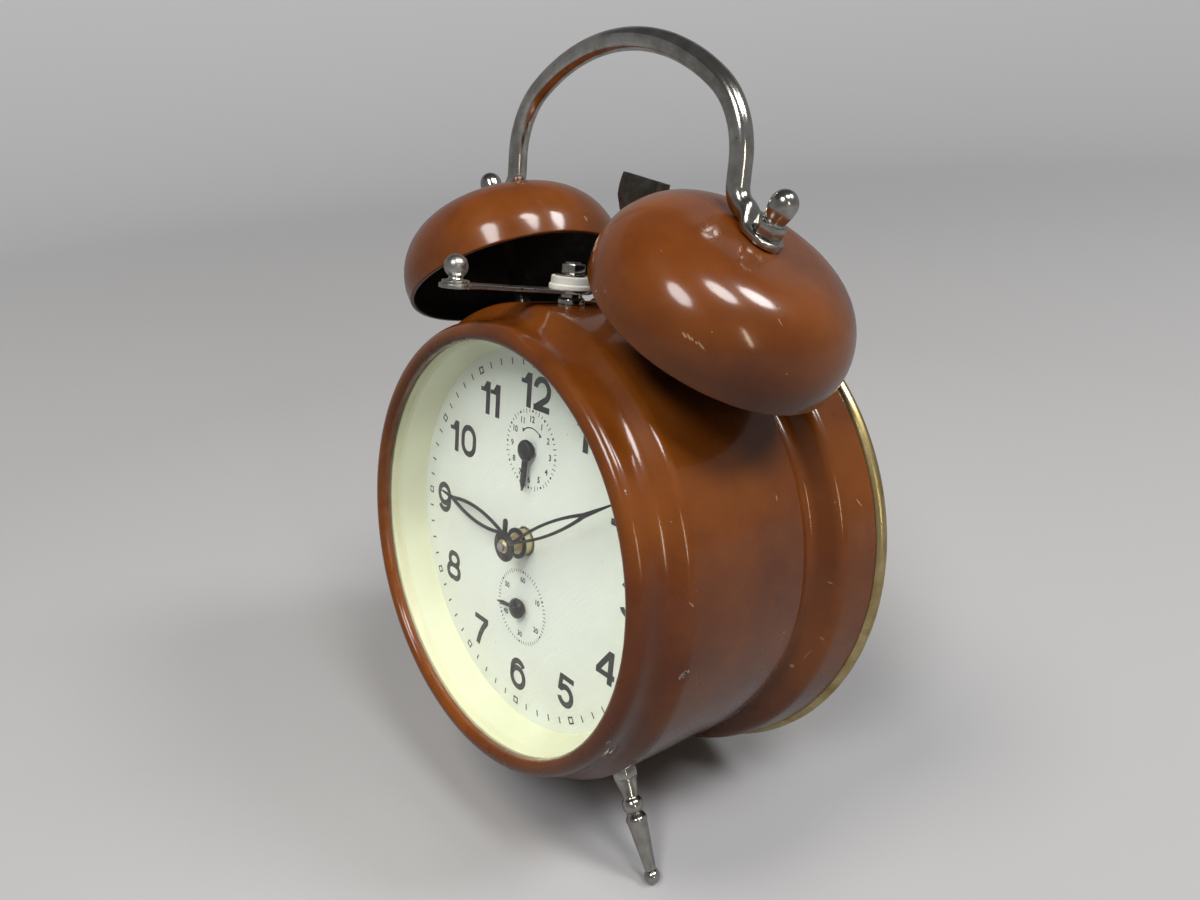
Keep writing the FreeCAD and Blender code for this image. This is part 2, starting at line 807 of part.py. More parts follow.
def make_hammer():
    place = dim.hammer_place
    arm_top = dim.arm_height + dim.arm_thick
    shaft = dim.shaft_radius
    hole = shaft + dim.fit
    reach = dim.hammer_reach

    arm = new_body("hammer_arm", upright(0, place))
    half = dim.arm_width / 2
    rod(arm, dim.arm_height, arm_top, dim.arm_width, "hub", hole)
    # this frame's -Y is the clock's +Z, so the arm runs towards -Y
    sketch = new_sketch(arm, "XY_Plane", "arm_outline", dim.arm_height)
    outline(sketch, [(-half, -reach), (half, -reach), (half + 0.4, -half - 1.0), (-half - 0.4, -half - 1.0)])
    pad(arm, sketch, dim.arm_thick, "strip")
    tip = circle(new_sketch(arm, "XY_Plane", "tip_circle", dim.arm_height), 0, -reach, half + 1.1)
    pad(arm, tip, dim.arm_thick, "round_end")

    ball = new_body("hammer_ball", upright(0, place))
    neck = 1.5
    collar = 2.9
    turned(ball, [
        (0, arm_top),
        (collar, arm_top),
        (collar, arm_top + 0.7),
        (neck, arm_top + 0.9),
        (neck, dim.ball_height),
        (0, dim.ball_height),
    ], "stem")
    knob = ball.newObject("PartDesign::AdditiveSphere", "knob")
    knob.Placement = at(0, 0, dim.ball_height)
    bind(knob, "Placement.Base.z", dim.ball_height)
    knob.Radius = number(dim.ball_radius)
    bind(knob, "Radius", dim.ball_radius)
    ball.Placement = at(0, 0, -number(place) + number(reach), about((1, 0, 0), -90))

    spindle = new_body("hammer_shaft", upright(0, place))
    collar_low = dim.bearing_top + 0.3
    turned(spindle, [
        (0, dim.tail_low),
        (shaft + 0.5, dim.tail_low),
        (shaft + 0.5, dim.tail_low + 2.4),
        (shaft, dim.tail_low + 2.4),
        (shaft, collar_low),
        (shaft + 0.8, collar_low),
        (shaft + 0.8, dim.arm_height),
        (shaft, dim.arm_height),
        (shaft, arm_top + 4.9),
        (0, arm_top + 4.9),
    ], "spindle")
    sketch = new_sketch(spindle, "XY_Plane", "tail_outline", dim.tail_low)
    outline(sketch, [(-1.4, 0), (-1.0, 11.4), (1.0, 11.4), (1.4, 0)])
    pad(spindle, sketch, 2.4, "tail")

    bush = new_body("hammer_bush", upright(0, place))
    turned(bush, [
        (hole, arm_top),
        (7.4, arm_top),
        (7.4, arm_top + 0.5),
        (6.3, arm_top + 0.7),
        (6.3, arm_top + 1.7),
        (hole, arm_top + 1.7),
    ], "bush")

    washer = new_body("hammer_washer", upright(0, place))
    turned(washer, [
        (hole, arm_top + 1.7),
        (5.1, arm_top + 1.7),
        (5.1, arm_top + 2.2),
        (hole, arm_top + 2.2),
    ], "washer")

    nut = new_body("hammer_nut", upright(0, place))
    hexagon(nut, arm_top + 2.2, arm_top + 4.7, 6.8, "nut", hole)

    bearing = new_body("hammer_bearing", upright(0, place))
    inside = dim.waist_radius - dim.case_wall - 0.6
    turned(bearing, [
        (hole, inside - 5.0),
        (dim.bearing_radius + 1.6, inside - 5.0),
        (dim.bearing_radius + 1.6, inside),
        (dim.bearing_radius, inside),
        (dim.bearing_radius, dim.bearing_top),
        (hole, dim.bearing_top),
    ], "sleeve")


# Stop lever: a flat strip on a stud of the back plate, up through the slot to a wide tab between the bells

def make_stop_lever():
    pivot = at(0, dim.stop_pivot_height, -dim.stop_place - dim.stop_thick / 2, about((0, 0, 1), -dim.stop_lean))
    lever = new_body("stop_lever", pivot)
    half = dim.stop_stem_width / 2
    tab = dim.stop_tab_width / 2
    top = dim.stop_tab_top
    sketch = new_sketch(lever, "XY_Plane", "lever_outline")
    outline(sketch, [
        (-half, 0),
        (half, 0),
        (half, top - 15.0),
        (tab - 1.5, top - 5.5),
        (tab, top - 3.4),
        (tab, top),
        (-tab, top, 12.0),
        (-tab - 0.6, top - 5.5),
        (-half, top - 15.0),
    ])
    pad(lever, sketch, dim.stop_thick, "strip")
    eye = circle(new_sketch(lever, "XY_Plane", "eye_circle"), 0, 0, half + 1.0)
    pad(lever, eye, dim.stop_thick, "eye")
    bore = circle(new_sketch(lever, "XY_Plane", "bore_circle", dim.stop_thick), 0, 0, stud_radius + dim.fit)
    cut(lever, bore, dim.stop_thick, "bore")
    fold = new_sketch(lever, "XY_Plane", "fold_outline")
    outline(fold, [(tab - 1.0, top - 3.4), (tab, top - 3.4), (tab, top), (tab - 1.0, top)])
    pad(lever, fold, dim.stop_thick + 2.0, "folded_edge")

    stud = new_body("stop_lever_stud", at(0, dim.stop_pivot_height, 0))
    face = -dim.stop_place - dim.stop_thick / 2 - 0.1
    front = face + dim.stop_thick + 0.2
    turned(stud, [
        (0, back_plate_face),
        (3.0, back_plate_face),
        (3.0, face),
        (stud_radius, face),
        (stud_radius, front),
        (2.6, front),
        (2.6, front + 0.8),
        (0, front + 0.8),
    ], "stud")


# Legs: turned pins with a hexagon, a cone, two beads, a long taper and a ball foot

def on_leg_line(side):
    turn = FreeCAD.Rotation(vector(0, 0, 1), -side * (180 - number(dim.leg_angle)))
    stand_up = FreeCAD.Rotation(vector(1, 0, 0), -90)
    return FreeCAD.Placement(vector(0, 0, -number(dim.leg_place)), turn.multiply(stand_up))


def make_leg(name, side):
    body = new_body(name, on_leg_line(side))
    tip = dim.leg_tip
    foot = foot_ball
    root = dim.waist_radius
    thread = dim.thread_radius
    turned(body, [
        (0, root - 4.0),
        (thread, root - 4.0),
        (thread, root + 2.0),
        (2.9, root + 4.2),
        (2.9, root + 4.6),
        (1.9, tip - 21.4),
        (2.0, tip - 21.0, 2.6),
        (1.85, tip - 17.4),
        (2.3, tip - 16.6, 1.4),
        (2.5, tip - 15.0),
        (0.7 * foot, tip - 1.72 * foot, foot),
        (foot, tip - foot, foot),
        (0, tip),
    ], "leg")
    hexagon(body, root, root + 4.2, dim.leg_flats, "spanner_block")


# Hands

def leaf(body, reach, thick, hub, start, finish, half_width, bar, tip_half):
    # two bowed bars that meet in a point, on a round hub; the hand points along +Y
    span = (finish - start) / 2
    wide = number(half_width)
    outer = (span * span + wide * wide) / (2 * wide)
    sketch = new_sketch(body, "XY_Plane", "leaf_outline")
    outline(sketch, [
        (tip_half, start, outer),
        (tip_half, finish),
        (0.15, reach),
        (-0.15, reach),
        (-tip_half, finish, outer),
        (-tip_half, start),
        (-tip_half, 0.5 * hub),
        (tip_half, 0.5 * hub),
    ])
    pad(body, sketch, thick, "leaf")
    inner_start, inner_end = start + 1.3, finish - 1.6
    inner_span = (inner_end - inner_start) / 2
    rise = wide + tip_half - bar
    inner = (inner_span * inner_span + rise * rise) / (2 * rise)
    window = new_sketch(body, "XY_Plane", "window_outline", thick)
    outline(window, [
        (0, inner_start, inner),
        (0, inner_end, inner),
    ])
    document.recompute()
    cut(body, window, thick, "window")


def make_hands():
    thick = dim.hand_thick
    hour = new_body("hour_hand", at(0, 0, dim.hour_hand_place, about((0, 0, 1), -hour_degrees)))
    leaf(hour, number(dim.hour_hand_reach), thick, number(dim.hub_radius), 6.6, 30.0, 1.75, 0.8, 0.55)
    rod(hour, 0, thick, dim.hub_radius, "hub")
    bore = new_sketch(hour, "XY_Plane", "bore_circle", thick)
    cut(hour, circle(bore, 0, 0, hour_pipe_radius - 0.6 + dim.fit), thick, "bore")

    minute = new_body("minute_hand", at(0, 0, dim.minute_hand_place, about((0, 0, 1), -minute_degrees)))
    leaf(minute, number(dim.minute_hand_reach), thick, number(dim.hub_radius), 5.6, 33.4, 1.1, 0.7, 0.6)
    rod(minute, 0, thick, dim.hub_radius, "hub")
    bore = new_sketch(minute, "XY_Plane", "bore_circle", thick)
    cut(minute, circle(bore, 0, 0, dim.centre_arbor_radius + dim.fit), thick, "bore")

    small = dim.small_hub_radius
    for name, place, degrees, reach, half in (
        ("alarm_hand", (0, number(dim.alarm_height)), alarm_degrees, dim.alarm_hand_reach, 0.9),
        ("seconds_hand", (0, -number(dim.seconds_drop)), seconds_degrees, dim.seconds_hand_reach, 0.5),
    ):
        body = new_body(name, at(place[0], place[1], dim.small_hand_place, about((0, 0, 1), -degrees)))
        turned(body, [
            (dim.arbor_radius + dim.fit, -0.7),
            (small - 0.5, -0.7),
            (small - 0.5, -0.1),
            (small, 0),
            (small, thick),
            (dim.arbor_radius + dim.fit, thick),
        ], "hub")
        sketch = new_sketch(body, "XY_Plane", "blade_outline")
        outline(sketch, [
            (half, 1.4),
            (half, reach - 2.2),
            (0.1, reach),
            (-0.1, reach),
            (-half, reach - 2.2),
            (-half, 1.4),
        ])
        pad(body, sketch, thick, "blade")


# Movement

post_places = [(35.0, 30.0), (-35.0, 30.0), (0.0, -39.0)]
pillar_places = [(35.0, 30.0), (-35.0, 30.0), (35.0, -32.0), (-35.0, -32.0)]
screw_radius = 1.5
stud_radius = 1.5
winding_radius = 2.4
hour_pipe_radius = 3.3
regulator_reach = 9.9
hair_collet = 1.2
hair_anchor = 5.6
hair_direction = 36
hair_stud = 0.9

# Going train: great wheel, centre, third, fourth and escape wheels, from the tooth counts and modules
great_teeth, centre_leaves, great_module = 60, 8, 0.76
centre_teeth, third_leaves, centre_module = 48, 6, 0.65
third_teeth, fourth_leaves, third_module = 45, 6, 0.5
fourth_teeth, escape_leaves, fourth_module = 60, 6, 0.38
escape_teeth = 15
escape_radius = 7.5
# Motion work: cannon pinion, minute wheel and pinion, hour wheel and alarm wheel
cannon_teeth, minute_teeth = 12, 36
minute_leaves, hour_teeth = 10, 40
# Alarm train
alarm_great_teeth, alarm_leaves, alarm_module = 50, 6, 0.8
alarm_escape_teeth = 12
alarm_escape_radius = 6.8

centre_place = (0.0, 0.0)
seconds_place = (0.0, -dimensions["seconds_drop"])
alarm_place = (0.0, dimensions["alarm_height"])
hour_module = dimensions["alarm_height"] / hour_teeth
minute_distance = hour_module * (minute_leaves + hour_teeth) / 2
minute_module = 2 * minute_distance / (cannon_teeth + minute_teeth)
minute_place = beside(centre_place, minute_distance, 196)
time_barrel = beside(centre_place, great_module * (great_teeth + centre_leaves) / 2, -11)
alarm_barrel = (-24.0, 6.0)
alarm_escape_place = beside(alarm_barrel, alarm_module * (alarm_great_teeth + alarm_leaves) / 2, 65)


def third_position():
    # where the third arbor meets both the centre wheel and the fourth pinion, on the left
    first = centre_module * (centre_teeth + third_leaves) / 2
    second = third_module * (third_teeth + fourth_leaves) / 2
    drop = dimensions["seconds_drop"]
    y = (second * second - first * first - drop * drop) / (2 * drop)
    return (-math.sqrt(first * first - y * y), y)


third_place = third_position()
escape_place = beside(seconds_place, fourth_module * (fourth_teeth + escape_leaves) / 2, -56)
pallet_place = beside(escape_place, escape_radius + 1.9, -20)
balance_place = beside(pallet_place, 8.2, -15)

minute_degrees = 58.5
hour_degrees = 274.9
seconds_degrees = 262.0
alarm_degrees = 184.0


hair_low = back_plate_face + 5.0


def plate_outline(sketch):
    half = dim.plate_size / 2
    round_off = dim.plate_corner
    inner = half - round_off
    outline(sketch, [
        (inner, -half, round_off),
        (half, -inner),
        (half, inner, round_off),
        (inner, half),
        (-inner, half, round_off),
        (-half, inner),
        (-half, -inner, round_off),
        (-inner, -half),
    ])
    return sketch


arbor_holes = [
    (third_place, "arbor_radius"),
    (seconds_place, "arbor_radius"),
    (escape_place, "arbor_radius"),
    (pallet_place, "arbor_radius"),
    (balance_place, "arbor_radius"),
    (alarm_escape_place, "arbor_radius"),
    (alarm_place, "arbor_radius"),
    (centre_place, "centre_arbor_radius"),
]


def make_plates():
    for name, place in (("front_plate", front_plate_back), ("back_plate", back_plate_back)):
        body = new_body(name, at(0, 0, place))
        sketch = plate_outline(new_sketch(body, "XY_Plane", "plate_outline"))
        for (x, y), size in arbor_holes:
            circle(sketch, x, y, getattr(dim, size) + dim.fit)
        for x, y in (time_barrel, alarm_barrel):
            circle(sketch, x, y, winding_radius + dim.fit)
        if name == "front_plate":
            circle(sketch, *minute_place, dim.arbor_radius + dim.fit)
        pad(body, sketch, dim.plate_thick, "plate")
        if name == "back_plate":
            # the stud that holds the hairspring's outer end
            x, y = beside(balance_place, hair_anchor + 0.2 + hair_stud, hair_direction)
            stud = circle(new_sketch(body, "XY_Plane", "stud_circle"), x, y, hair_stud)
            pad(body, stud, dim.plate_thick + 6.0, "hairspring_stud")


def make_columns():
    pillars = document.addObject("Part::Feature", "plate_pillars")
    pillars.Label = "plate_pillars"
    length = number(front_plate_back - back_plate_face)
    radius = number(dim.pillar_radius)
    pillars.Shape = Part.makeCompound([
        Part.makeCylinder(radius, length, vector(x, y, number(back_plate_face))) for x, y in pillar_places
    ])
    pieces["plate_pillars"] = pillars

    posts = document.addObject("Part::Feature", "cover_posts")
    posts.Label = "cover_posts"
    post_length = number(back_plate_back - cover_inner)
    shapes = []
    for x, y in post_places:
        post = Part.makeCylinder(3.0, post_length, vector(x, y, number(cover_inner)))
        bore = Part.makeCylinder(number(screw_radius + dim.fit), 9.0, vector(x, y, number(cover_inner)))
        shapes.append(post.cut(bore))
    posts.Shape = Part.makeCompound(shapes)
    pieces["cover_posts"] = posts

    screws = document.addObject("Part::Feature", "cover_screws")
    screws.Label = "cover_screws"
    shapes = []
    for x, y in post_places:
        start = vector(x, y, number(cover_outer))
        shank = Part.makeCylinder(number(screw_radius), 8.0, start)
        head = Part.makeCylinder(2.9, 1.4, vector(x, y, number(cover_outer) - 1.4))
        slot = Part.makeBox(6.2, 0.7, 0.6, vector(x - 3.1, y - 0.35, number(cover_outer) - 1.4))
        shapes.append(head.cut(slot).fuse(shank).removeSplitter())
    screws.Shape = Part.makeCompound(shapes)
    pieces["cover_screws"] = screws


def arbor(body, low, high, radius, name="arbor"):
    return rod(body, low, high, radius, name)


def make_motion_work():
    wheel = dim.wheel_thick
    hour_low = back_of_dial - 0.4 - wheel
    minute_low = hour_low - 0.5 - wheel

    cannon = new_body("cannon_pinion", at(0, 0, 0, about((0, 0, 1), cannon_turn)))
    bore = dim.centre_arbor_radius + dim.fit
    toothed(cannon, cannon_teeth, minute_module, minute_low, wheel, "leaves", bore)
    rod(cannon, minute_low + wheel, dim.minute_hand_place, 1.9, "pipe", bore)
    rod(cannon, minute_low - 0.6, minute_low, 1.9, "foot", bore)

    turn = mesh_turn(centre_place, cannon_turn, cannon_teeth, minute_place, minute_teeth)
    minute = new_body("minute_wheel", at(*minute_place, 0, about((0, 0, 1), turn)))
    toothed(minute, minute_teeth, minute_module, minute_low, wheel, "teeth")
    toothed(minute, minute_leaves, hour_module, minute_low + wheel, hour_low - minute_low, "leaves")
    arbor(minute, front_plate_back, minute_low, dim.arbor_radius, "stem")

    turn = mesh_turn(minute_place, turn, minute_leaves, centre_place, hour_teeth)
    hour = new_body("hour_wheel", at(0, 0, 0, about((0, 0, 1), turn)))
    bore = 1.9 + 0.06
    toothed(hour, hour_teeth, hour_module, hour_low, wheel, "teeth", bore)
    rod(hour, hour_low + wheel, dim.hour_hand_place, hour_pipe_radius, "pipe", bore)
    rod(hour, dim.hour_hand_place, dim.hour_hand_place + dim.hand_thick, 2.7, "seat", bore)

    turn = mesh_turn(centre_place, turn, hour_teeth, alarm_place, hour_teeth)
    alarm = new_body("alarm_wheel", at(*alarm_place, 0, about((0, 0, 1), turn)))
    toothed(alarm, hour_teeth, hour_module, hour_low, wheel, "teeth", dim.arbor_radius + 0.06)


cannon_turn = 0.0


def make_going_train():
    top = front_plate_face
    low = back_plate_back
    wheel = dim.wheel_thick
    slim = dim.arbor_radius

    centre = new_body("centre_wheel", at(0, 0, 0, about((0, 0, 1), centre_wheel_turn)))
    bore = dim.centre_arbor_radius + dim.fit
    face = front_plate_back - 1.4
    toothed(centre, centre_teeth, centre_module, face - wheel, wheel, "teeth", bore)
    rod(centre, back_plate_face + 3.4, face - wheel, 2.0, "collet", bore)
    toothed(centre, centre_leaves, great_module, back_plate_face + 0.8, 2.6, "leaves", bore)

    turn = mesh_turn(centre_place, centre_wheel_turn, centre_teeth, third_place, third_leaves)
    third = new_body("third_wheel", at(*third_place, 0, about((0, 0, 1), turn)))
    third_face = face - wheel - 1.8
    toothed(third, third_teeth, third_module, third_face - wheel, wheel, "teeth")
    toothed(third, third_leaves, centre_module, face - wheel - 0.3, wheel + 0.6, "leaves")
    arbor(third, low, top, slim)

    turn = mesh_turn(third_place, turn, third_teeth, seconds_place, fourth_leaves)
    fourth = new_body("fourth_wheel", at(*seconds_place, 0, about((0, 0, 1), turn)))
    fourth_face = third_face - wheel - 1.4
    toothed(fourth, fourth_teeth, fourth_module, fourth_face - wheel, wheel, "teeth")
    toothed(fourth, fourth_leaves, third_module, third_face - wheel - 0.3, wheel + 0.6, "leaves")
    arbor(fourth, low, dim.small_hand_place + dim.hand_thick, slim)

    turn = mesh_turn(seconds_place, turn, fourth_teeth, escape_place, escape_leaves)
    escape = new_body("escape_wheel", at(*escape_place, 0, about((0, 0, 1), turn)))
    toothed(escape, escape_leaves, fourth_module, fourth_face - wheel - 0.3, wheel + 0.6, "leaves")
    escape_teeth_ring(escape, escape_teeth, escape_radius, third_face - wheel, wheel)
    arbor(escape, low, top, slim)

    turn = mesh_turn(centre_place, centre_wheel_turn, centre_leaves, time_barrel, great_teeth)
    great = new_body("time_great_wheel", at(*time_barrel, 0, about((0, 0, 1), turn)))
    toothed(great, great_teeth, great_module, back_plate_face + 1.4, 1.4, "teeth", winding_radius + dim.fit)


centre_wheel_turn = 3.0


def escape_teeth_ring(body, teeth, radius, low, thick):
    # slanted pointed teeth for pin pallets
    root = 0.74 * radius
    disc = circle(new_sketch(body, "XY_Plane", "ratchet_disc", low), 0, 0, root)
    pad(body, disc, thick, "ratchet_blank")
    pitch = 2 * math.pi / teeth
    sunk = root - 0.3
    lean_back = 0.45 * pitch
    sketch = outline(new_sketch(body, "XY_Plane", "ratchet_tooth", low), [
        (sunk * math.cos(-0.28 * pitch), sunk * math.sin(-0.28 * pitch)),
        (radius * math.cos(lean_back - 0.06 * pitch), radius * math.sin(lean_back - 0.06 * pitch)),
        (radius * math.cos(lean_back), radius * math.sin(lean_back)),
        (sunk * math.cos(0.16 * pitch), sunk * math.sin(0.16 * pitch)),
    ])
    tooth = pad(body, sketch, thick, "ratchet_tooth_pad")
    repeat(body, tooth, sketch, teeth, "ratchet_teeth")


def make_escapement():
    top = front_plate_face
    low = back_plate_back
    wheel = dim.wheel_thick
    level = front_plate_back - 1.4 - wheel - 1.8 - wheel
    slim = dim.arbor_radius

    towards = math.degrees(math.atan2(escape_place[1] - pallet_place[1], escape_place[0] - pallet_place[0]))
    pallet = new_body("pallet_lever", at(*pallet_place, 0, about((0, 0, 1), towards)))
    arbor(pallet, low, top, slim)
    plate = new_sketch(pallet, "XY_Plane", "lever_outline", level + wheel + 0.3)
    outline(plate, [
        (1.2, -1.2),
        (3.8, -5.9),
        (2.9, -6.4),
        (-0.9, -1.2),
        (-5.8, -0.5),
        (-5.8, 0.5),
        (-0.9, 1.2),
        (2.9, 6.4),
        (3.8, 5.9),
        (1.2, 1.2),
    ])
    pad(pallet, plate, 0.8, "lever")
    pins = new_sketch(pallet, "XY_Plane", "pin_circles", level)
    circle(pins, 3.0, 5.7, 0.35)
    circle(pins, 3.0, -5.7, 0.35)
    pad(pallet, pins, wheel + 0.4, "pins")

    balance = new_body("balance_wheel", at(*balance_place, 0, about((0, 0, 1), 25)))
    rim_low = level - 5.4
    ring = circle(new_sketch(balance, "XY_Plane", "rim_circles", rim_low), 0, 0, 6.8)
    circle(ring, 0, 0, 5.4)
    pad(balance, ring, 1.5, "rim")
    arms = outline(new_sketch(balance, "XY_Plane", "arms_outline", rim_low + 0.4), [
        (-5.9, -0.8),
        (5.9, -0.8),
        (5.9, 0.8),
        (-5.9, 0.8),
    ])
    pad(balance, arms, 0.7, "arms")
    rod(balance, rim_low - 0.8, rim_low + 2.0, 1.6, "hub")
    arbor(balance, low, top, slim, "staff")
    rod(balance, hair_low - 0.3, hair_low + 1.1, hair_collet, "collet")
    roller = circle(new_sketch(balance, "XY_Plane", "roller_circle", level + wheel + 0.3), 0, 0, 1.7)
    pad(balance, roller, 0.8, "roller")


def spiral_strip(name, place, inner, pitch, halves, thick, low, high, anchor, towards):
    # a flat strip wound clockwise in half turns; the last one swings out to its anchor
    stops = [(inner + pitch / 2 * index) * (-1) ** index for index in range(halves)]
    stops.append(anchor * (-1) ** halves)
    outside, inside = [], []
    for index, (start, end) in enumerate(zip(stops, stops[1:])):
        middle = (start + end) / 2
        for edges, offset in ((outside, thick / 2), (inside, -thick / 2)):
            reach = abs(start - end) / 2 + offset
            side = -1 if index % 2 else 1
            first = vector(middle + reach * side, 0, 0)
            bottom = vector(middle, -reach * side, 0)
            last = vector(middle - reach * side, 0, 0)
            edges.append(Part.Arc(first, bottom, last).toShape())
    ends = [
        Part.LineSegment(outside[0].firstVertex().Point, inside[0].firstVertex().Point).toShape(),
        Part.LineSegment(outside[-1].lastVertex().Point, inside[-1].lastVertex().Point).toShape(),
    ]
    wire = Part.Wire(Part.__sortEdges__(outside + inside + ends))
    strip = Part.Face(wire).extrude(vector(0, 0, number(high) - number(low)))
    turn = towards if halves % 2 == 0 else towards + 180
    strip.Placement = at(place[0], place[1], low, about((0, 0, 1), turn))
    feature = document.addObject("Part::Feature", name)
    feature.Label = name
    feature.Shape = strip
    pieces[name] = feature
    print("%s: least gap between turns %.2f mm" % (name, pitch - thick))


def towards_spot(start, end):
    return math.degrees(math.atan2(end[1] - start[1], end[0] - start[0]))


def spring_to_pillar(name, barrel, pillar, pitch, halves, low, high):
    # the strip's outer end lies against a pillar, its inner end against the winding arbor
    thick = 0.7
    distance = math.hypot(pillar[0] - barrel[0], pillar[1] - barrel[1])
    anchor = distance - dimensions["pillar_radius"] - thick / 2 - 0.1
    inner = winding_radius + thick / 2 + 0.15
    spiral_strip(name, barrel, inner, pitch, halves, thick, low, high, anchor, towards_spot(barrel, pillar))


def make_springs():
    low = back_plate_face + 4.6
    spring_to_pillar("time_mainspring", time_barrel, pillar_places[2], 2.6, 10, low, low + 10.0)
    spring_to_pillar("alarm_mainspring", alarm_barrel, pillar_places[1], 2.4, 8, low + 1.8, low + 9.0)
    spiral_strip(
        "hairspring", balance_place, hair_collet + 0.2, 0.8, 9, 0.2,
        hair_low, hair_low + 0.8, hair_anchor, hair_direction,
    )


def winding_arbor(name, place):
    body = new_body(name, at(*place, 0))
    end = cover_outer - 4.0
    rod(body, back_plate_back - 0.1, front_plate_face, winding_radius, "barrel_arbor")
    rod(body, end, back_plate_back - 0.1, winding_radius, "key_stem")
    ratchet = new_sketch(body, "XY_Plane", "ratchet_circle", back_plate_back - 1.7)
    pad(body, circle(ratchet, 0, 0, 5.2), 1.4, "ratchet_disc")
    tooth = outline(new_sketch(body, "XY_Plane", "ratchet_tooth", back_plate_back - 1.7), [
        (4.9, -1.2),
        (6.4, 0.9),
        (5.0, 1.2),
    ])
    first = pad(body, tooth, 1.4, "ratchet_tooth_pad")
    repeat(body, first, tooth, 12, "ratchet_teeth")


def winding_key(name, place, degrees):
    # two rounded wings on a hub; the hub is screwed on the stem
    body = new_body(name, at(*place, 0, about((0, 0, 1), degrees)))
    top = cover_outer - 1.2
    hub = dim.key_hub_radius
    height = dim.key_height
    rod(body, top - 5.2, top, hub, "hub", winding_radius + dim.fit)
    rod(body, top - 6.4, top - 5.2, hub, "hub_end")
    half = dim.key_width / 2
    thick = dim.key_thick
    wings = new_sketch(
        body, "XZ_Plane", "wings_outline",
        offset=FreeCAD.Placement(vector(0, 0, -number(thick) / 2), FreeCAD.Rotation()),
    )
    base = top - 2.6
    outline(wings, [
        (2.6, base),
        (half - 3.0, base, -5.0),
        (half, base - height * 0.45, -5.4),
        (half - 4.4, base - height, -14.0),
        (2.6, base - height * 0.55),
        (-2.6, base - height * 0.55, -14.0),
        (-half + 4.4, base - height, -5.4),
        (-half, base - height * 0.45, -5.0),
        (-half + 3.0, base),
        (-2.6, base),
        (-2.6, base - 2.0),
        (2.6, base - 2.0),
    ])
    pad(body, wings, thick, "wings")


def knob(name, place, radius, bore, low_end):
    body = new_body(name, at(*place, 0))
    top = low_end
    turned(body, [
        (0, top - dim.knob_height),
        (radius - 1.2, top - dim.knob_height),
        (radius, top - dim.knob_height + 1.2),
        (radius, top - 1.0),
        (radius - 1.6, top),
        (bore + dim.fit, top),
        (bore + dim.fit, top - 4.5),
        (0, top - 4.5),
    ], "knob")
    flute = new_sketch(body, "XY_Plane", "flute_circle", top)
    circle(flute, radius + 0.35, 0, 0.8)
    first = cut(body, flute, dim.knob_height, "flute")
    repeat(body, first, flute, 14, "flutes")


def make_setting():
    centre = new_body("centre_arbor")
    arbor(centre, cover_outer - 5.0, dim.minute_hand_place + dim.hand_thick + 1.0, dim.centre_arbor_radius)
    knob("hand_set_knob", centre_place, dim.hand_knob_radius, dim.centre_arbor_radius, cover_outer - 0.8)
    setting = new_body("alarm_set_arbor", at(*alarm_place, 0))
    arbor(setting, cover_outer - 5.0, dim.small_hand_place + dim.hand_thick, dim.arbor_radius)
    rod(setting, front_plate_face + 0.1, back_of_dial - 2.5, 2.4, "cam")
    knob("alarm_set_knob", alarm_place, dim.alarm_knob_radius, dim.arbor_radius, cover_outer - 0.8)


def make_alarm_train():
    wheel = dim.wheel_thick
    turn = 4.0
    great = new_body("alarm_great_wheel", at(*alarm_barrel, 0, about((0, 0, 1), turn)))
    toothed(great, alarm_great_teeth, alarm_module, back_plate_face + 4.4, 1.4, "teeth", winding_radius + dim.fit)
    turn = mesh_turn(alarm_barrel, turn, alarm_great_teeth, alarm_escape_place, alarm_leaves)
    escape = new_body("alarm_escape_wheel", at(*alarm_escape_place, 0, about((0, 0, 1), turn)))
    toothed(escape, alarm_leaves, alarm_module, back_plate_face + 4.1, 2.0, "leaves")
    escape_teeth_ring(escape, alarm_escape_teeth, alarm_escape_radius, -19.4, wheel)
    arbor(escape, back_plate_back, front_plate_face, dim.arbor_radius)


def make_regulator():
    body = new_body("regulator_lever", at(*balance_place, 0, about((0, 0, 1), 135)))
    low = back_plate_back - 1.3
    sketch = new_sketch(body, "XY_Plane", "lever_outline", low)
    outline(sketch, [(0, -2.2), (regulator_reach, -1.2), (regulator_reach, 1.2), (0, 2.2)])
    pad(body, sketch, 1.0, "lever")
    ends = circle(new_sketch(body, "XY_Plane", "end_circles", low), 0, 0, 3.0)
    pad(body, ends, 1.0, "eye")
    bore = circle(new_sketch(body, "XY_Plane", "bore_circle", low + 1.0), 0, 0, dim.arbor_radius + 0.3)
    cut(body, bore, 1.0, "bore")
    pin = new_sketch(body, "XY_Plane", "pin_circle", cover_outer - 2.0)
    circle(pin, regulator_reach, 0, 0.9)
    pad(body, pin, low - cover_outer + 2.0, "pin")


make_case()
make_cover()
make_crystal()
make_ring()
make_dial()
make_bell("bell_left", -1)
make_bell("bell_right", 1)
make_bell_post("bell_post_left", -1)
make_bell_post("bell_post_right", 1)
fastener_pair("acorn_nuts", acorn_nut, [on_bell_line(-1), on_bell_line(1)])
fastener_pair(
    "bell_post_nuts",
    lambda body: inner_nut(body, dim.waist_radius - dim.case_wall - 0.3, 7.0, dim.thread_radius + dim.fit),
    [on_bell_line(-1), on_bell_line(1)],
)
make_handle()
make_hammer()
make_stop_lever()
make_leg("leg_left", -1)
make_leg("leg_right", 1)
fastener_pair(
    "leg_nuts",
    lambda body: inner_nut(body, dim.waist_radius - dim.case_wall - 0.3, 7.0, dim.thread_radius + dim.fit),
    [on_leg_line(-1), on_leg_line(1)],
)
make_hands()
make_plates()
make_columns()
make_motion_work()
make_going_train()
make_escapement()
make_springs()
winding_arbor("time_winding_arbor", time_barrel)
winding_arbor("alarm_winding_arbor", alarm_barrel)
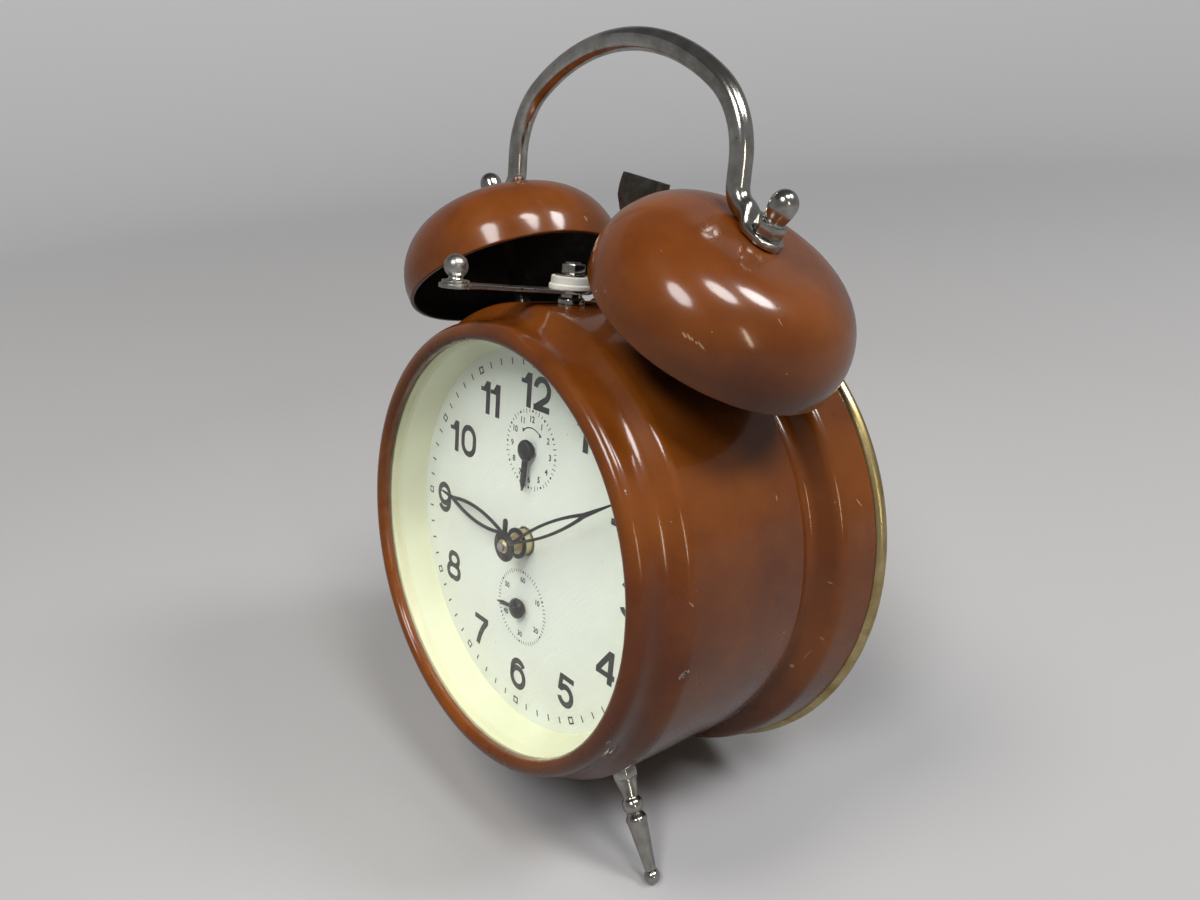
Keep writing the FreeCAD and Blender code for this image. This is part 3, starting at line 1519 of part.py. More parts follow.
winding_key("time_key", time_barrel, 62)
winding_key("alarm_key", alarm_barrel, 118)
make_setting()
make_alarm_train()
make_regulator()
document.recompute()

# Every piece leans back with the clock, then the part's box is centred over the origin
for piece in pieces.values():
    piece.Placement = leaning.multiply(piece.Placement)
document.recompute()
box = FreeCAD.BoundBox()
for piece in pieces.values():
    box.add(piece.Shape.optimalBoundingBox(False))
centring = FreeCAD.Placement(vector(-box.Center.x, -box.Center.y, 0), FreeCAD.Rotation())
for piece in pieces.values():
    piece.Placement = centring.multiply(piece.Placement)
document.recompute()
print("lean %.2f degrees, lowest point %.4f mm" % (math.degrees(lean), box.ZMin))
print("size %.1f x %.1f x %.1f mm" % (box.XLength, box.YLength, box.ZLength))

for item in document.Objects:
    if "Invalid" in item.State or "Error" in item.State:
        raise RuntimeError("%s failed: %s" % (item.Label, item.State))
for name, piece in pieces.items():
    if piece.Shape.isNull() or not piece.Shape.isValid():
        raise RuntimeError("%s has no valid shape" % name)

os.makedirs("parts", exist_ok=True)
for name, piece in pieces.items():
    piece.Shape.exportStep("parts/%s.step" % name)
print("%d nodes" % len(pieces))
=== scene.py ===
import json
import math
import bmesh
import bpy
from mathutils import Matrix, Vector
from mathutils.bvhtree import BVHTree


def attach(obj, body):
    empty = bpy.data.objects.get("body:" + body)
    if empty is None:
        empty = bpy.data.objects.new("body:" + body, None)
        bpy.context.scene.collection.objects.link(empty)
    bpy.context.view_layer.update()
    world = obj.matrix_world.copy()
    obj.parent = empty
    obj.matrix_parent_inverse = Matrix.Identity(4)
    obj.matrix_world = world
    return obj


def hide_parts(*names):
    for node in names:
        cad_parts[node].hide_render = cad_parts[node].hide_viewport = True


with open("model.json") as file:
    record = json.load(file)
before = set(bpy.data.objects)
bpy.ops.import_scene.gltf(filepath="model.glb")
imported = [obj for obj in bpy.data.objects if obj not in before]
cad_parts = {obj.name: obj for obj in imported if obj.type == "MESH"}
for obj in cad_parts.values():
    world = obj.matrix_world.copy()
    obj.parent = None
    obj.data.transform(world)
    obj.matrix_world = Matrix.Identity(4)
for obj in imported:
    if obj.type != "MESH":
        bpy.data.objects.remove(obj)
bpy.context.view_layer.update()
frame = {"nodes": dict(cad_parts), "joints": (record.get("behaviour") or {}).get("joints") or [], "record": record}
print("frame loaded:", len(frame["nodes"]), "nodes")

# The clock's own axes: right is 3 o'clock, up is 12 o'clock, outward leaves the dial. One unit is 1 mm.
centreJoint = [joint for joint in frame["joints"] if joint["name"] == "centre_spin"][0]
right = Vector((1, 0, 0))
outward = -Vector(centreJoint["axis"]).normalized()
up = outward.cross(right)
dialCentre = Vector(centreJoint["pos_m"])
clockTurn = Matrix((right, up, outward)).transposed()
clock = Matrix.Translation(dialCentre) @ clockTurn.to_4x4() @ Matrix.Scale(0.001, 4)
identity = Matrix.Identity(4)


def jointSpot(body):
    # where the joint of a moving body stands, in the clock's millimetres
    joint = [joint for joint in frame["joints"] if joint["child"] == body][0]
    return clock.inverted() @ Vector(joint["pos_m"])


# Meshes

def drawOutline(bm, start, moves, arcSteps=10):
    # a wire given as radius and height; a third number goes round an arc, counter-clockwise when positive
    tip = bm.verts.new((start[0], 0, start[1]))
    for move in moves:
        target = Vector((move[0], 0, move[1]))
        if len(move) == 2:
            tip = bmesh.ops.extrude_vert_indiv(bm, verts=[tip])["verts"][0]
            tip.co = target
            continue
        across = target - tip.co
        rise = math.sqrt(max(move[2] ** 2 - across.length_squared / 4, 0))
        left = Vector((-across.z, 0, across.x)).normalized()
        pivot = tip.co + across / 2 + left * math.copysign(rise, move[2])
        sweep = math.copysign(2 * math.asin(min(across.length / 2 / abs(move[2]), 1)), move[2])
        spun = bmesh.ops.spin(
            bm, geom=[tip], cent=pivot, axis=(0, -1, 0), dvec=(0, 0, 0), angle=sweep, steps=arcSteps
        )
        tip = [item for item in spun["geom_last"] if isinstance(item, bmesh.types.BMVert)][0]


def turned(look, steps=96, arcSteps=10):
    # a turned or spun form about its own height
    bm = bmesh.new()
    drawOutline(bm, look["start"], look["moves"], arcSteps)
    bmesh.ops.remove_doubles(bm, verts=bm.verts, dist=0.0005)
    bmesh.ops.spin(
        bm, geom=bm.verts[:] + bm.edges[:], cent=(0, 0, 0), axis=(0, 0, 1), dvec=(0, 0, 0),
        angle=math.tau, steps=steps, use_merge=True,
    )
    bmesh.ops.remove_doubles(bm, verts=bm.verts, dist=0.0005)
    bmesh.ops.recalc_face_normals(bm, faces=bm.faces)
    return bm


def joinMeshes(*parts):
    # several closed forms of one piece in one mesh
    whole = bmesh.new()
    for part in parts:
        mesh = bpy.data.meshes.new("part")
        part.to_mesh(mesh)
        part.free()
        whole.from_mesh(mesh)
        bpy.data.meshes.remove(mesh)
    return whole


def prism(flats, low, high, edge=0.25, sides=6):
    # a hexagon or other many-sided block across its flats, its edges broken
    bm = bmesh.new()
    corner = flats / 2 / math.cos(math.pi / sides)
    made = bmesh.ops.create_circle(bm, cap_ends=True, segments=sides, radius=corner)
    bmesh.ops.translate(bm, verts=made["verts"], vec=(0, 0, low))
    grown = bmesh.ops.extrude_face_region(bm, geom=bm.faces[:])["geom"]
    bmesh.ops.translate(bm, verts=ringVerts(grown), vec=(0, 0, high - low))
    bmesh.ops.recalc_face_normals(bm, faces=bm.faces)
    bmesh.ops.bevel(bm, geom=bm.edges[:], offset=edge, segments=2, profile=0.5, affect="EDGES", material=-1)
    return bm


def tube(radius, low, high):
    bm = bmesh.new()
    bmesh.ops.create_cone(
        bm, cap_ends=True, segments=48, radius1=radius, radius2=radius, depth=high - low,
        matrix=Matrix.Translation((0, 0, (low + high) / 2)),
    )
    return bm


def blockAt(width, depth, low, high, place):
    # an upright block in the clock's axes: x, along the drum, and height
    bm = bmesh.new()
    middle = Matrix.Translation((0, (low + high) / 2, place))
    bmesh.ops.create_cube(bm, size=1.0, matrix=middle @ Matrix.Diagonal((width, high - low, depth, 1)))
    return bm


def placed(bm, place):
    bm.transform(place)
    return bm


def ringVerts(geom):
    return [item for item in geom if isinstance(item, bmesh.types.BMVert)]


def cutAway(bm, cutters):
    # takes closed forms out of a closed form, in the piece's own millimetres
    holders = []
    for part in [bm] + cutters:
        mesh = bpy.data.meshes.new("cut")
        part.to_mesh(mesh)
        part.free()
        holder = bpy.data.objects.new("cut", mesh)
        bpy.context.scene.collection.objects.link(holder)
        holders.append(holder)
    for cutter in holders[1:]:
        modifier = holders[0].modifiers.new("cut", "BOOLEAN")
        modifier.operation = "DIFFERENCE"
        modifier.solver = "EXACT"
        modifier.object = cutter
    result = bmesh.new()
    result.from_object(holders[0], bpy.context.evaluated_depsgraph_get())
    for holder in holders:
        mesh = holder.data
        bpy.data.objects.remove(holder)
        bpy.data.meshes.remove(mesh)
    return result


def outFrom(along, turn=0.0):
    # the line that leaves the drum's axis at that place along it, turned clockwise from 12 o'clock
    tilt = Matrix.Rotation(math.radians(-turn), 4, "Z") @ Matrix.Rotation(math.radians(-90), 4, "X")
    return Matrix.Translation((0, 0, along)) @ tilt


# Where the bells, the legs and the hammer stand on the drum

places = {
    "bellAlong": -18.9,
    "bellTurn": 30.9,
    "legAlong": -10.0,
    "legTurn": 148.8,
    "hammerAlong": -8.6,
    "ballAlong": 23.3,
}
onHammerLine = outFrom(places["hammerAlong"])
onBallLine = outFrom(places["ballAlong"])


def onBellLine(side):
    return outFrom(places["bellAlong"], side * places["bellTurn"])


def onLegLine(side):
    return outFrom(places["legAlong"], side * places["legTurn"])


# The two enamelled forms

drum = {
    # radius and height of the pressed shell's outline, from the rolled lip to the flared back, then back inside
    "start": (50.4, 11.6),
    "moves": [
        (50.4, 12.4), (51.85, 14.15, -1.8), (55.0, 11.0, -3.15), (55.0, 9.4), (56.5, 5.5, 6.0), (58.05, 3.71),
        (59.0, 1.2, -3.8), (59.0, -33.4), (58.05, -35.1, -2.0), (57.1, -36.8, 2.0), (59.0, -39.6, 3.0),
        (62.0, -40.8), (64.2, -43.65, -3.6), (65.4, -52.6),
        (64.4, -52.6), (63.2, -43.65), (61.62, -41.73, 2.6), (58.62, -40.53), (56.1, -36.8, -4.0),
        (57.53, -34.25, -3.0), (58.0, -33.4, 1.0), (58.0, 1.2), (57.3, 3.05, 2.8), (55.75, 4.84),
        (54.0, 9.4, -7.0), (54.0, 10.6), (53.6, 11.2), (50.8, 11.2), (50.4, 11.6, -0.4),
    ],
    "steps": 224,
    "postHole": 1.95,
    "bearingHole": 2.95,
    "cut": (52, 64),
    "slot": {"place": -22.2, "half": 7.2, "width": 2.0},
}
bell = {
    # a pressed cup with a flat crown, from the crown's inside to its outside
    "start": (2.0, 90.6),
    "moves": [
        (2.0, 89.4), (13.4, 89.4), (28.8, 74.0, -15.4), (28.4, 70.6), (28.8, 70.2, 0.4), (29.2, 70.2),
        (29.6, 70.6, 0.4), (30.0, 74.0), (13.4, 90.6, 16.6), (2.0, 90.6),
    ],
    "steps": 176,
    "middle": 72,
}


# The photo's view, in the clock's axes and millimetres, and the photo's size in pixels

view = {
    "azimuth": 47.85, "elevation": 16.01, "roll": 4.71, "spot": (160.77, 83.09, 123.57),
    "lens": 26.0, "sensor": 36.0, "pixels": (1200, 900),
}
azimuth, elevation, roll = (math.radians(view[key]) for key in ("azimuth", "elevation", "roll"))
# back is where the camera looks from; level and over are the picture's right and up before the roll
back = Vector((math.sin(azimuth) * math.cos(elevation), math.sin(elevation), math.cos(azimuth) * math.cos(elevation)))
level = Vector((math.cos(azimuth), 0, -math.sin(azimuth)))
over = back.cross(level)
pictureRight = level * math.cos(roll) + over * math.sin(roll)
pictureUp = over * math.cos(roll) - level * math.sin(roll)

# Chips and scuffs of the enamel, listed one by one: both ends in the photo's pixels, then half the width in millimetres

chipPlaces = {
    "drum": {
        "rollLow": (681, 677, 687, 672, 0.5), "rollDot": (671, 521, 671, 521, 0.2),
        "lipMiddle": (625, 490, 626, 494, 0.16), "lipFoot": (607, 745, 609, 741, 0.3),
        "footDot": (614, 746, 614, 746, 0.25), "sideDot": (784, 632, 784, 632, 0.2),
    },
    "bellRight": {"topDot": (661, 251, 661, 251, 0.2), "nearRim": (596, 291, 596, 291, 0.28)},
    "bellLeft": {"rightSide": (585, 217, 587, 220, 0.3)},
}
scuffPlaces = {
    "drum": {
        "waistHair": (803, 659, 811, 651, 0.09), "waistDot": (792, 666, 792, 666, 0.55),
        "waistLow": (820, 637, 824, 640, 0.16), "flareRight": (857, 500, 861, 505, 0.18),
        "flareDot": (835, 502, 835, 502, 0.16), "sideMiddle": (776, 495, 777, 500, 0.16),
        "rollMiddle": (690, 603, 694, 607, 0.12), "waistMiddle": (828, 582, 833, 584, 0.12),
        "sideLow": (716, 690, 716, 690, 0.12),
    },
    "bellRight": {
        "firstDash": (683, 333, 686, 337, 0.2), "secondDash": (688, 335, 690, 339, 0.18),
        "thirdDash": (692, 338, 693, 341, 0.14), "fourthDash": (696, 342, 697, 344, 0.14),
        "fifthDash": (699, 343, 704, 349, 0.18), "besideDot": (712, 332, 712, 332, 0.13),
        "hair": (778, 318, 782, 325, 0.07), "lowDot": (787, 374, 787, 374, 0.16),
    },
}


def sightForm(bm):
    form = BVHTree.FromBMesh(bm)
    bm.free()
    return form


sightForms = {
    "drum": sightForm(turned(drum, drum["steps"])),
    "bellRight": sightForm(placed(turned(bell, bell["steps"], 16), onBellLine(1))),
    "bellLeft": sightForm(placed(turned(bell, bell["steps"], 16), onBellLine(-1))),
}


def onForm(form, x, y):
    # where the line of sight through a pixel of the photo meets a form, or comes closest to it
    start, (wide, high) = Vector(view["spot"]), view["pixels"]
    focal = view["lens"] / view["sensor"] * wide
    sight = (pictureRight * (x - wide / 2) + pictureUp * (high / 2 - y) - back * focal).normalized()
    spot = form.ray_cast(start, sight)[0]
    if spot is None:
        spot = start
        for step in range(40):
            spot = form.find_nearest(start + sight * (spot - start).dot(sight))[0]
    return spot


def markEnds(places):
    # both ends on the clock in millimetres, and half the width
    ends = []
    for key, marks in places.items():
        form = sightForms[key]
        ends += [(onForm(form, *mark[:2]), onForm(form, *mark[2:4]), mark[4]) for mark in marks.values()]
    return ends


# Shader nodes

def paint(*screen):
    # screen colour to the shader's linear values
    linear = [c / 255 / 12.92 if c <= 10 else ((c / 255 + 0.055) / 1.055) ** 2.4 for c in screen]
    return (*linear, 1)


def addNode(tree, kind, inputs=None, **settings):
    node = tree.nodes.new("ShaderNode" + kind)
    for key, value in settings.items():
        setattr(node, key, value)
    for key, value in (inputs or {}).items():
        if isinstance(value, bpy.types.NodeSocket):
            tree.links.new(value, node.inputs[key])
        else:
            node.inputs[key].default_value = value
    return node


def clockPlace(tree):
    # the place on the clock in millimetres, along right, up and outward
    inputs = {
        "Vector": addNode(tree, "TexCoord").outputs["Object"],
        "Location": dialCentre,
        "Rotation": clockTurn.to_euler(),
        "Scale": (0.001, 0.001, 0.001),
    }
    return addNode(tree, "Mapping", inputs, vector_type="TEXTURE").outputs["Vector"]


def stretch(tree, coords, scale):
    return addNode(tree, "Mapping", {"Vector": coords, "Scale": scale}).outputs["Vector"]


def noise(tree, coords, size, detail=3.0, rough=0.55, distortion=0.0):
    # size is the width of a blotch in millimetres
    inputs = {"Vector": coords, "Scale": 1 / size, "Detail": detail, "Roughness": rough, "Distortion": distortion}
    return addNode(tree, "TexNoise", inputs).outputs["Fac"]


def rampTo(tree, value, low, high, toLow=0.0, toHigh=1.0):
    inputs = {"Value": value, "From Min": low, "From Max": high, "To Min": toLow, "To Max": toHigh}
    return addNode(tree, "MapRange", inputs).outputs["Result"]


def maths(tree, operation, first, second=0.5):
    return addNode(tree, "Math", {0: first, 1: second}, operation=operation).outputs[0]


def mixColour(tree, factor, first, second):
    return addNode(tree, "Mix", {0: factor, 6: first, 7: second}, data_type="RGBA").outputs[2]


def addBump(tree, height, depth, below=None):
    # depth is in millimetres for a height of 1
    inputs = {"Height": height, "Distance": depth * 0.001, "Strength": 1.0}
    if below is not None:
        inputs["Normal"] = below
    return addNode(tree, "Bump", inputs).outputs["Normal"]


def newMaterial(name, **sockets):
    material = bpy.data.materials.new(name)
    material.use_nodes = True
    tree = material.node_tree
    shader = tree.nodes["Principled BSDF"]
    for key, value in sockets.items():
        shader.inputs[key.replace("_", " ")].default_value = value
    return material, tree, shader


def specks(tree, coords, size, share, edge=0.02):
    # small scattered spots, one in a few of the cells of that size
    cells = addNode(tree, "TexVoronoi", {"Vector": coords, "Scale": 1 / size, "Randomness": 1.0})
    near = rampTo(tree, cells.outputs["Distance"], share + edge, share)
    chosen = addNode(tree, "SeparateColor", {"Color": cells.outputs["Color"]}).outputs[0]
    return maths(tree, "MULTIPLY", near, rampTo(tree, chosen, 0.55, 0.6))


# Finishes

def wornMetal(name, look):
    # bare or plated metal with tarnish, fine scratches and a little dirt
    material, tree, shader = newMaterial(name, Metallic=1.0)
    coords = clockPlace(tree)
    blotch = noise(tree, coords, look["blotch"], 5.0, 0.6)
    tone = rampTo(tree, blotch, 0.38, 0.66)
    colour = mixColour(tree, tone, paint(*look["bright"]), paint(*look["dull"]))
    dirt = maths(tree, "MULTIPLY", specks(tree, coords, 3.0, 0.07, 0.05), look["dirt"])
    colour = mixColour(tree, dirt, colour, paint(*look["stain"]))
    tree.links.new(colour, shader.inputs["Base Color"])
    fine = noise(tree, stretch(tree, coords, (1.0, 1.0, 0.06)), 0.25, 2.0, 0.7)
    base = rampTo(tree, blotch, 0.3, 0.7, *look["rough"])
    tree.links.new(maths(tree, "ADD", base, maths(tree, "MULTIPLY", fine, 0.06)), shader.inputs["Roughness"])
    bump = addBump(tree, fine, look.get("scratchDepth", 0.002))
    bump = addBump(tree, noise(tree, coords, 4.0, 2.0), 0.02, bump)
    tree.links.new(bump, shader.inputs["Normal"])
    return material


def markAt(tree, coords, ragged, start, end, half):
    # a ragged mark from one place on the clock to another, 1 along its middle
    axis = end - start
    inputs = {
        "Vector": coords,
        "Location": (start + end) / 2,
        "Rotation": axis.to_track_quat("X", "Z").to_euler() if axis.length > 0 else (0, 0, 0),
        "Scale": (axis.length / 2 + half, half, half),
    }
    local = addNode(tree, "Mapping", inputs, vector_type="TEXTURE").outputs["Vector"]
    reach = addNode(tree, "VectorMath", {0: local}, operation="LENGTH").outputs["Value"]
    return rampTo(tree, maths(tree, "ADD", reach, ragged), 1.15, 0.85)


def anyMark(tree, coords, marks):
    ragged = rampTo(tree, noise(tree, coords, 0.5, 3.0, 0.7), 0.3, 0.7, -0.4, 0.4)
    found = None
    for mark in marks:
        shown = markAt(tree, coords, ragged, *mark)
        found = shown if found is None else maths(tree, "MAXIMUM", found, shown)
    return found


enamelLook = {
    "light": (130, 70, 21),
    "deep": (97, 46, 12),
    "chipped": (60, 50, 44),
    "bare": (206, 196, 178),
    "rubbed": (184, 150, 118),
    "nibs": 0.6,
    "scratches": 0.28,
    "scuffs": 0.8,
    "peelDepth": 0.008,
    "chipDepth": 0.04,
}


def makeEnamel(name, look):
    # glossy brown stove enamel: slow drifts of tone, orange peel, pale dust nibs, hair scratches and small chips
    material, tree, shader = newMaterial(
        name, Coat_Weight=0.85, Coat_Roughness=0.12, Coat_IOR=1.5, Specular_IOR_Level=0.15
    )
    coords = clockPlace(tree)
    deep, rubbed = paint(*look["deep"]), paint(*look["rubbed"])
    drift = rampTo(tree, noise(tree, coords, 34.0, 4.0, 0.6), 0.35, 0.68)
    colour = mixColour(tree, drift, paint(*look["light"]), deep)
    fleck = noise(tree, coords, 0.9, 2.0, 0.6)
    colour = mixColour(tree, rampTo(tree, fleck, 0.6, 0.8, 0.0, 0.15), colour, deep)
    nibs = specks(tree, coords, 6.0, 0.016, 0.008)
    colour = mixColour(tree, maths(tree, "MULTIPLY", nibs, look["nibs"]), colour, rubbed)
    hair = rampTo(tree, noise(tree, stretch(tree, coords, (0.16, 1.0, 1.0)), 0.5, 2.0, 0.6, 1.2), 0.74, 0.76)
    patch = rampTo(tree, noise(tree, coords, 16.0, 2.0), 0.52, 0.62)
    scratch = maths(tree, "MULTIPLY", hair, patch)
    colour = mixColour(tree, maths(tree, "MULTIPLY", scratch, look["scratches"]), colour, rubbed)
    scuffs = anyMark(tree, coords, markEnds(scuffPlaces))
    colour = mixColour(tree, maths(tree, "MULTIPLY", scuffs, look["scuffs"]), colour, rubbed)
    chips = anyMark(tree, coords, markEnds(chipPlaces))
    inside = rampTo(tree, noise(tree, coords, 0.5), 0.35, 0.6)
    bare = mixColour(tree, inside, paint(*look["bare"]), paint(*look["chipped"]))
    tree.links.new(mixColour(tree, chips, colour, bare), shader.inputs["Base Color"])
    haze = rampTo(tree, noise(tree, coords, 12.0, 5.0, 0.65), 0.3, 0.75, 0.24, 0.36)
    worn = maths(tree, "MULTIPLY", maths(tree, "MAXIMUM", scuffs, chips), 0.3)
    tree.links.new(maths(tree, "ADD", haze, worn), shader.inputs["Roughness"])
    peel = addBump(tree, noise(tree, coords, 2.6, 1.5, 0.5), look["peelDepth"])
    sunk = addBump(tree, maths(tree, "MAXIMUM", nibs, chips), -look["chipDepth"], peel)
    tree.links.new(sunk, shader.inputs["Normal"])
    tree.links.new(sunk, shader.inputs["Coat Normal"])
    return material


def makeDialPaint(name):
    # off-white paint over a fine diagonal waffle, a little yellowed towards the edge
    look = {"paint": (216, 224, 215), "aged": (206, 213, 196), "mark": (150, 146, 120), "pitch": 0.62, "depth": 0.05}
    material, tree, shader = newMaterial(name)
    coords = clockPlace(tree)
    radius = addNode(tree, "VectorMath", {0: coords}, operation="LENGTH").outputs["Value"]
    blotch = rampTo(tree, noise(tree, coords, 14.0, 4.0), 0.3, 0.7)
    aged = maths(tree, "MULTIPLY", rampTo(tree, radius, 20.0, 50.0), blotch)
    colour = mixColour(tree, aged, paint(*look["paint"]), paint(*look["aged"]))
    spots = maths(tree, "MULTIPLY", specks(tree, coords, 5.0, 0.035, 0.02), 0.5)
    tree.links.new(mixColour(tree, spots, colour, paint(*look["mark"])), shader.inputs["Base Color"])
    tree.links.new(rampTo(tree, noise(tree, coords, 3.0), 0.3, 0.7, 0.42, 0.6), shader.inputs["Roughness"])
    heights = []
    for turn in (45, -45):
        lines = addNode(tree, "Mapping", {"Vector": coords, "Rotation": (0, 0, math.radians(turn))})
        # a wave's period is 2 pi / 20 of a unit at scale 1
        inputs = {"Vector": lines.outputs["Vector"], "Scale": 0.314 / look["pitch"]}
        heights.append(addNode(tree, "TexWave", inputs, wave_profile="SIN").outputs["Fac"])
    tree.links.new(addBump(tree, maths(tree, "MULTIPLY", *heights), look["depth"]), shader.inputs["Normal"])
    return material


def makeSoft(name, look):
    # paint, plastic or ink: two tones, a roughness that drifts and a fine grain
    material, tree, shader = newMaterial(name, **look.get("sockets", {}))
    coords = clockPlace(tree)
    tone = rampTo(tree, noise(tree, coords, look["blotch"], 4.0), 0.35, 0.65)
    tree.links.new(mixColour(tree, tone, paint(*look["light"]), paint(*look["deep"])), shader.inputs["Base Color"])
    tree.links.new(rampTo(tree, noise(tree, coords, 2.0), 0.3, 0.7, *look["rough"]), shader.inputs["Roughness"])
    tree.links.new(addBump(tree, noise(tree, coords, look["grain"], 2.0), look["depth"]), shader.inputs["Normal"])
    return material


def makeCrystal(name):
    # clear window with faint wipe marks, which the lamps shine through
    material, tree, shader = newMaterial(name, Transmission_Weight=1.0, IOR=1.46, Base_Color=(1, 1, 1, 1))
    coords = clockPlace(tree)
    marks = noise(tree, stretch(tree, coords, (0.2, 1.0, 1.0)), 2.5, 4.0, 0.7)
    tree.links.new(rampTo(tree, marks, 0.6, 0.85, 0.0, 0.015), shader.inputs["Roughness"])
    tree.links.new(addBump(tree, noise(tree, coords, 9.0, 1.0), 0.001), shader.inputs["Normal"])
    shadowRay = addNode(tree, "LightPath").outputs["Is Shadow Ray"]
    clear = addNode(tree, "BsdfTransparent").outputs["BSDF"]
    shown = addNode(tree, "MixShader", {0: shadowRay, 1: shader.outputs["BSDF"], 2: clear}).outputs["Shader"]
    tree.links.new(shown, tree.nodes["Material Output"].inputs["Surface"])
    return material


# What each piece of the frame is finished in, by the record's slots
slotFinish = {
    "brown_enamel": makeEnamel("brownEnamel", enamelLook),
    "cover_brass": wornMetal("coverBrass", {
        "bright": (216, 198, 148), "dull": (176, 154, 102), "stain": (96, 76, 44),
        "blotch": 7.0, "rough": (0.2, 0.38), "dirt": 0.3,
    }),
    "crystal_clear": makeCrystal("crystalClear"),
    "ring_cream": makeSoft("creamRing", {
        "light": (206, 211, 181), "deep": (198, 203, 172),
        "blotch": 16.0, "rough": (0.4, 0.5), "grain": 0.7, "depth": 0.004,
    }),
    "dial_paint": makeDialPaint("dialPaint"),
    "bright_nickel": wornMetal("brightNickel", {
        "bright": (204, 202, 196), "dull": (162, 159, 150), "stain": (84, 72, 58),
        "blotch": 5.0, "rough": (0.08, 0.2), "dirt": 0.5,
    }),
    "plain_steel": wornMetal("plainSteel", {
        "bright": (206, 204, 198), "dull": (164, 162, 154), "stain": (84, 72, 60),
        "blotch": 3.0, "rough": (0.2, 0.36), "dirt": 0.5, "scratchDepth": 0.004,
    }),
    "dull_steel": wornMetal("dullSteel", {
        "bright": (112, 111, 104), "dull": (80, 79, 73), "stain": (60, 50, 38),
        "blotch": 3.0, "rough": (0.36, 0.55), "dirt": 0.7,
    }),
    "white_nylon": makeSoft("whiteNylon", {
        "light": (226, 226, 220), "deep": (208, 208, 200),
        "blotch": 3.0, "rough": (0.3, 0.45), "grain": 0.6, "depth": 0.004,
        "sockets": {"Subsurface_Weight": 0.3, "Subsurface_Scale": 0.001},
    }),
    "hand_black": makeSoft("handBlack", {
        "light": (17, 17, 18), "deep": (9, 9, 10),
        "blotch": 2.0, "rough": (0.25, 0.45), "grain": 0.4, "depth": 0.004,
    }),
    "spring_steel": wornMetal("springSteel", {
        "bright": (120, 128, 146), "dull": (88, 92, 104), "stain": (60, 56, 52),
        "blotch": 4.0, "rough": (0.2, 0.34), "dirt": 0.2,
    }),
    "clock_brass": wornMetal("clockBrass", {
        "bright": (222, 208, 172), "dull": (192, 178, 138), "stain": (110, 84, 44),
        "blotch": 5.0, "rough": (0.22, 0.4), "dirt": 0.3,
    }),
}
# painted shade: the inside of each bell is finished near-black, standing in for the shade inside the cup
bellInsideShade = makeSoft("bellInsideShade", {
    "light": (26, 21, 19), "deep": (14, 12, 11),
    "blotch": 6.0, "rough": (0.45, 0.7), "grain": 0.8, "depth": 0.02,
})
dialInk = makeSoft("dialInk", {
    "light": (24, 25, 26), "deep": (36, 37, 36),
    "blotch": 1.5, "rough": (0.4, 0.6), "grain": 0.4, "depth": 0.003,
})
print("finishes made")
nodeSlot = {entry["node"]: entry["material_slot"] for entry in frame["record"]["subparts"]}
for node, piece in frame["nodes"].items():
    finish = slotFinish[nodeSlot[node]]
    for index in range(max(len(piece.material_slots), 1)):
        if index >= len(piece.material_slots):
            piece.data.materials.append(finish)
        piece.material_slots[index].material = finish
print("frame painted")


# Pieces

def finishPiece(bm, name, body, slotName, nodes=(), place=identity, sharp=32, finishes=None):
    # drawn in the clock's millimetres, then set in its place for good
    bm.transform(clock @ place)
    mesh = bpy.data.meshes.new(name)
    bm.to_mesh(mesh)
    bm.free()
    for face in mesh.polygons:
        face.use_smooth = True
    mesh.set_sharp_from_angle(angle=math.radians(sharp))
    for material in finishes or [slotFinish[slotName]]:
        mesh.materials.append(material)
    piece = bpy.data.objects.new(name, mesh)
    bpy.context.scene.collection.objects.link(piece)
    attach(piece, body)
    if nodes:
        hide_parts(*nodes)
    return piece


def dressNode(name, node, body, edge, sag=None):
    # a machined piece of the frame with its loose triangles joined and its edges broken
    bm = bmesh.new()
    bm.from_mesh(frame["nodes"][node].data)
    bm.transform(clock.inverted())
    bmesh.ops.remove_doubles(bm, verts=bm.verts, dist=0.002)
    bmesh.ops.dissolve_limit(bm, angle_limit=math.radians(0.6), verts=bm.verts, edges=bm.edges)
    if sag:
        for vert in bm.verts:
            share = (sag["from"] - vert.co.z) / (sag["from"] - sag["to"])
            vert.co.y -= sag["depth"] * min(max(share, 0), 1)
    corners = [item for item in bm.edges if item.is_manifold and item.calc_face_angle() > math.radians(40)]
    bmesh.ops.bevel(
        bm, geom=corners, offset=edge, segments=2, profile=0.5, affect="EDGES", material=-1, clamp_overlap=True
    )
    for face in bm.faces:
        face.material_index = 0
    return finishPiece(bm, name, body, nodeSlot[node], [node])


# Drum and bells

cutters = [placed(tube(drum["postHole"], *drum["cut"]), onBellLine(side)) for side in (1, -1)]
cutters += [placed(tube(drum["postHole"], *drum["cut"]), onLegLine(side)) for side in (1, -1)]
cutters.append(placed(tube(drum["bearingHole"], *drum["cut"]), onHammerLine))
cutters.append(blockAt(2 * drum["slot"]["half"], drum["slot"]["width"], *drum["cut"], drum["slot"]["place"]))
finishPiece(cutAway(turned(drum, drum["steps"]), cutters), "caseShell", "case", "brown_enamel", ["case_shell"])
print("drum made")

for side, name, node in ((-1, "bellLeft", "bell_left"), (1, "bellRight", "bell_right")):
    cup = turned(bell, bell["steps"], 16)
    # black where a face looks towards the middle of the cup: painted shade for the cup's inside
    for face in cup.faces:
        away = face.calc_center_median() - Vector((0, 0, bell["middle"]))
        face.material_index = int(face.normal.dot(away) < 0)
    cupFinishes = [slotFinish["brown_enamel"], bellInsideShade]
    finishPiece(cup, name, "case", "brown_enamel", [node], onBellLine(side), finishes=cupFinishes)
print("bells made")

# Bell posts, acorn nuts and legs

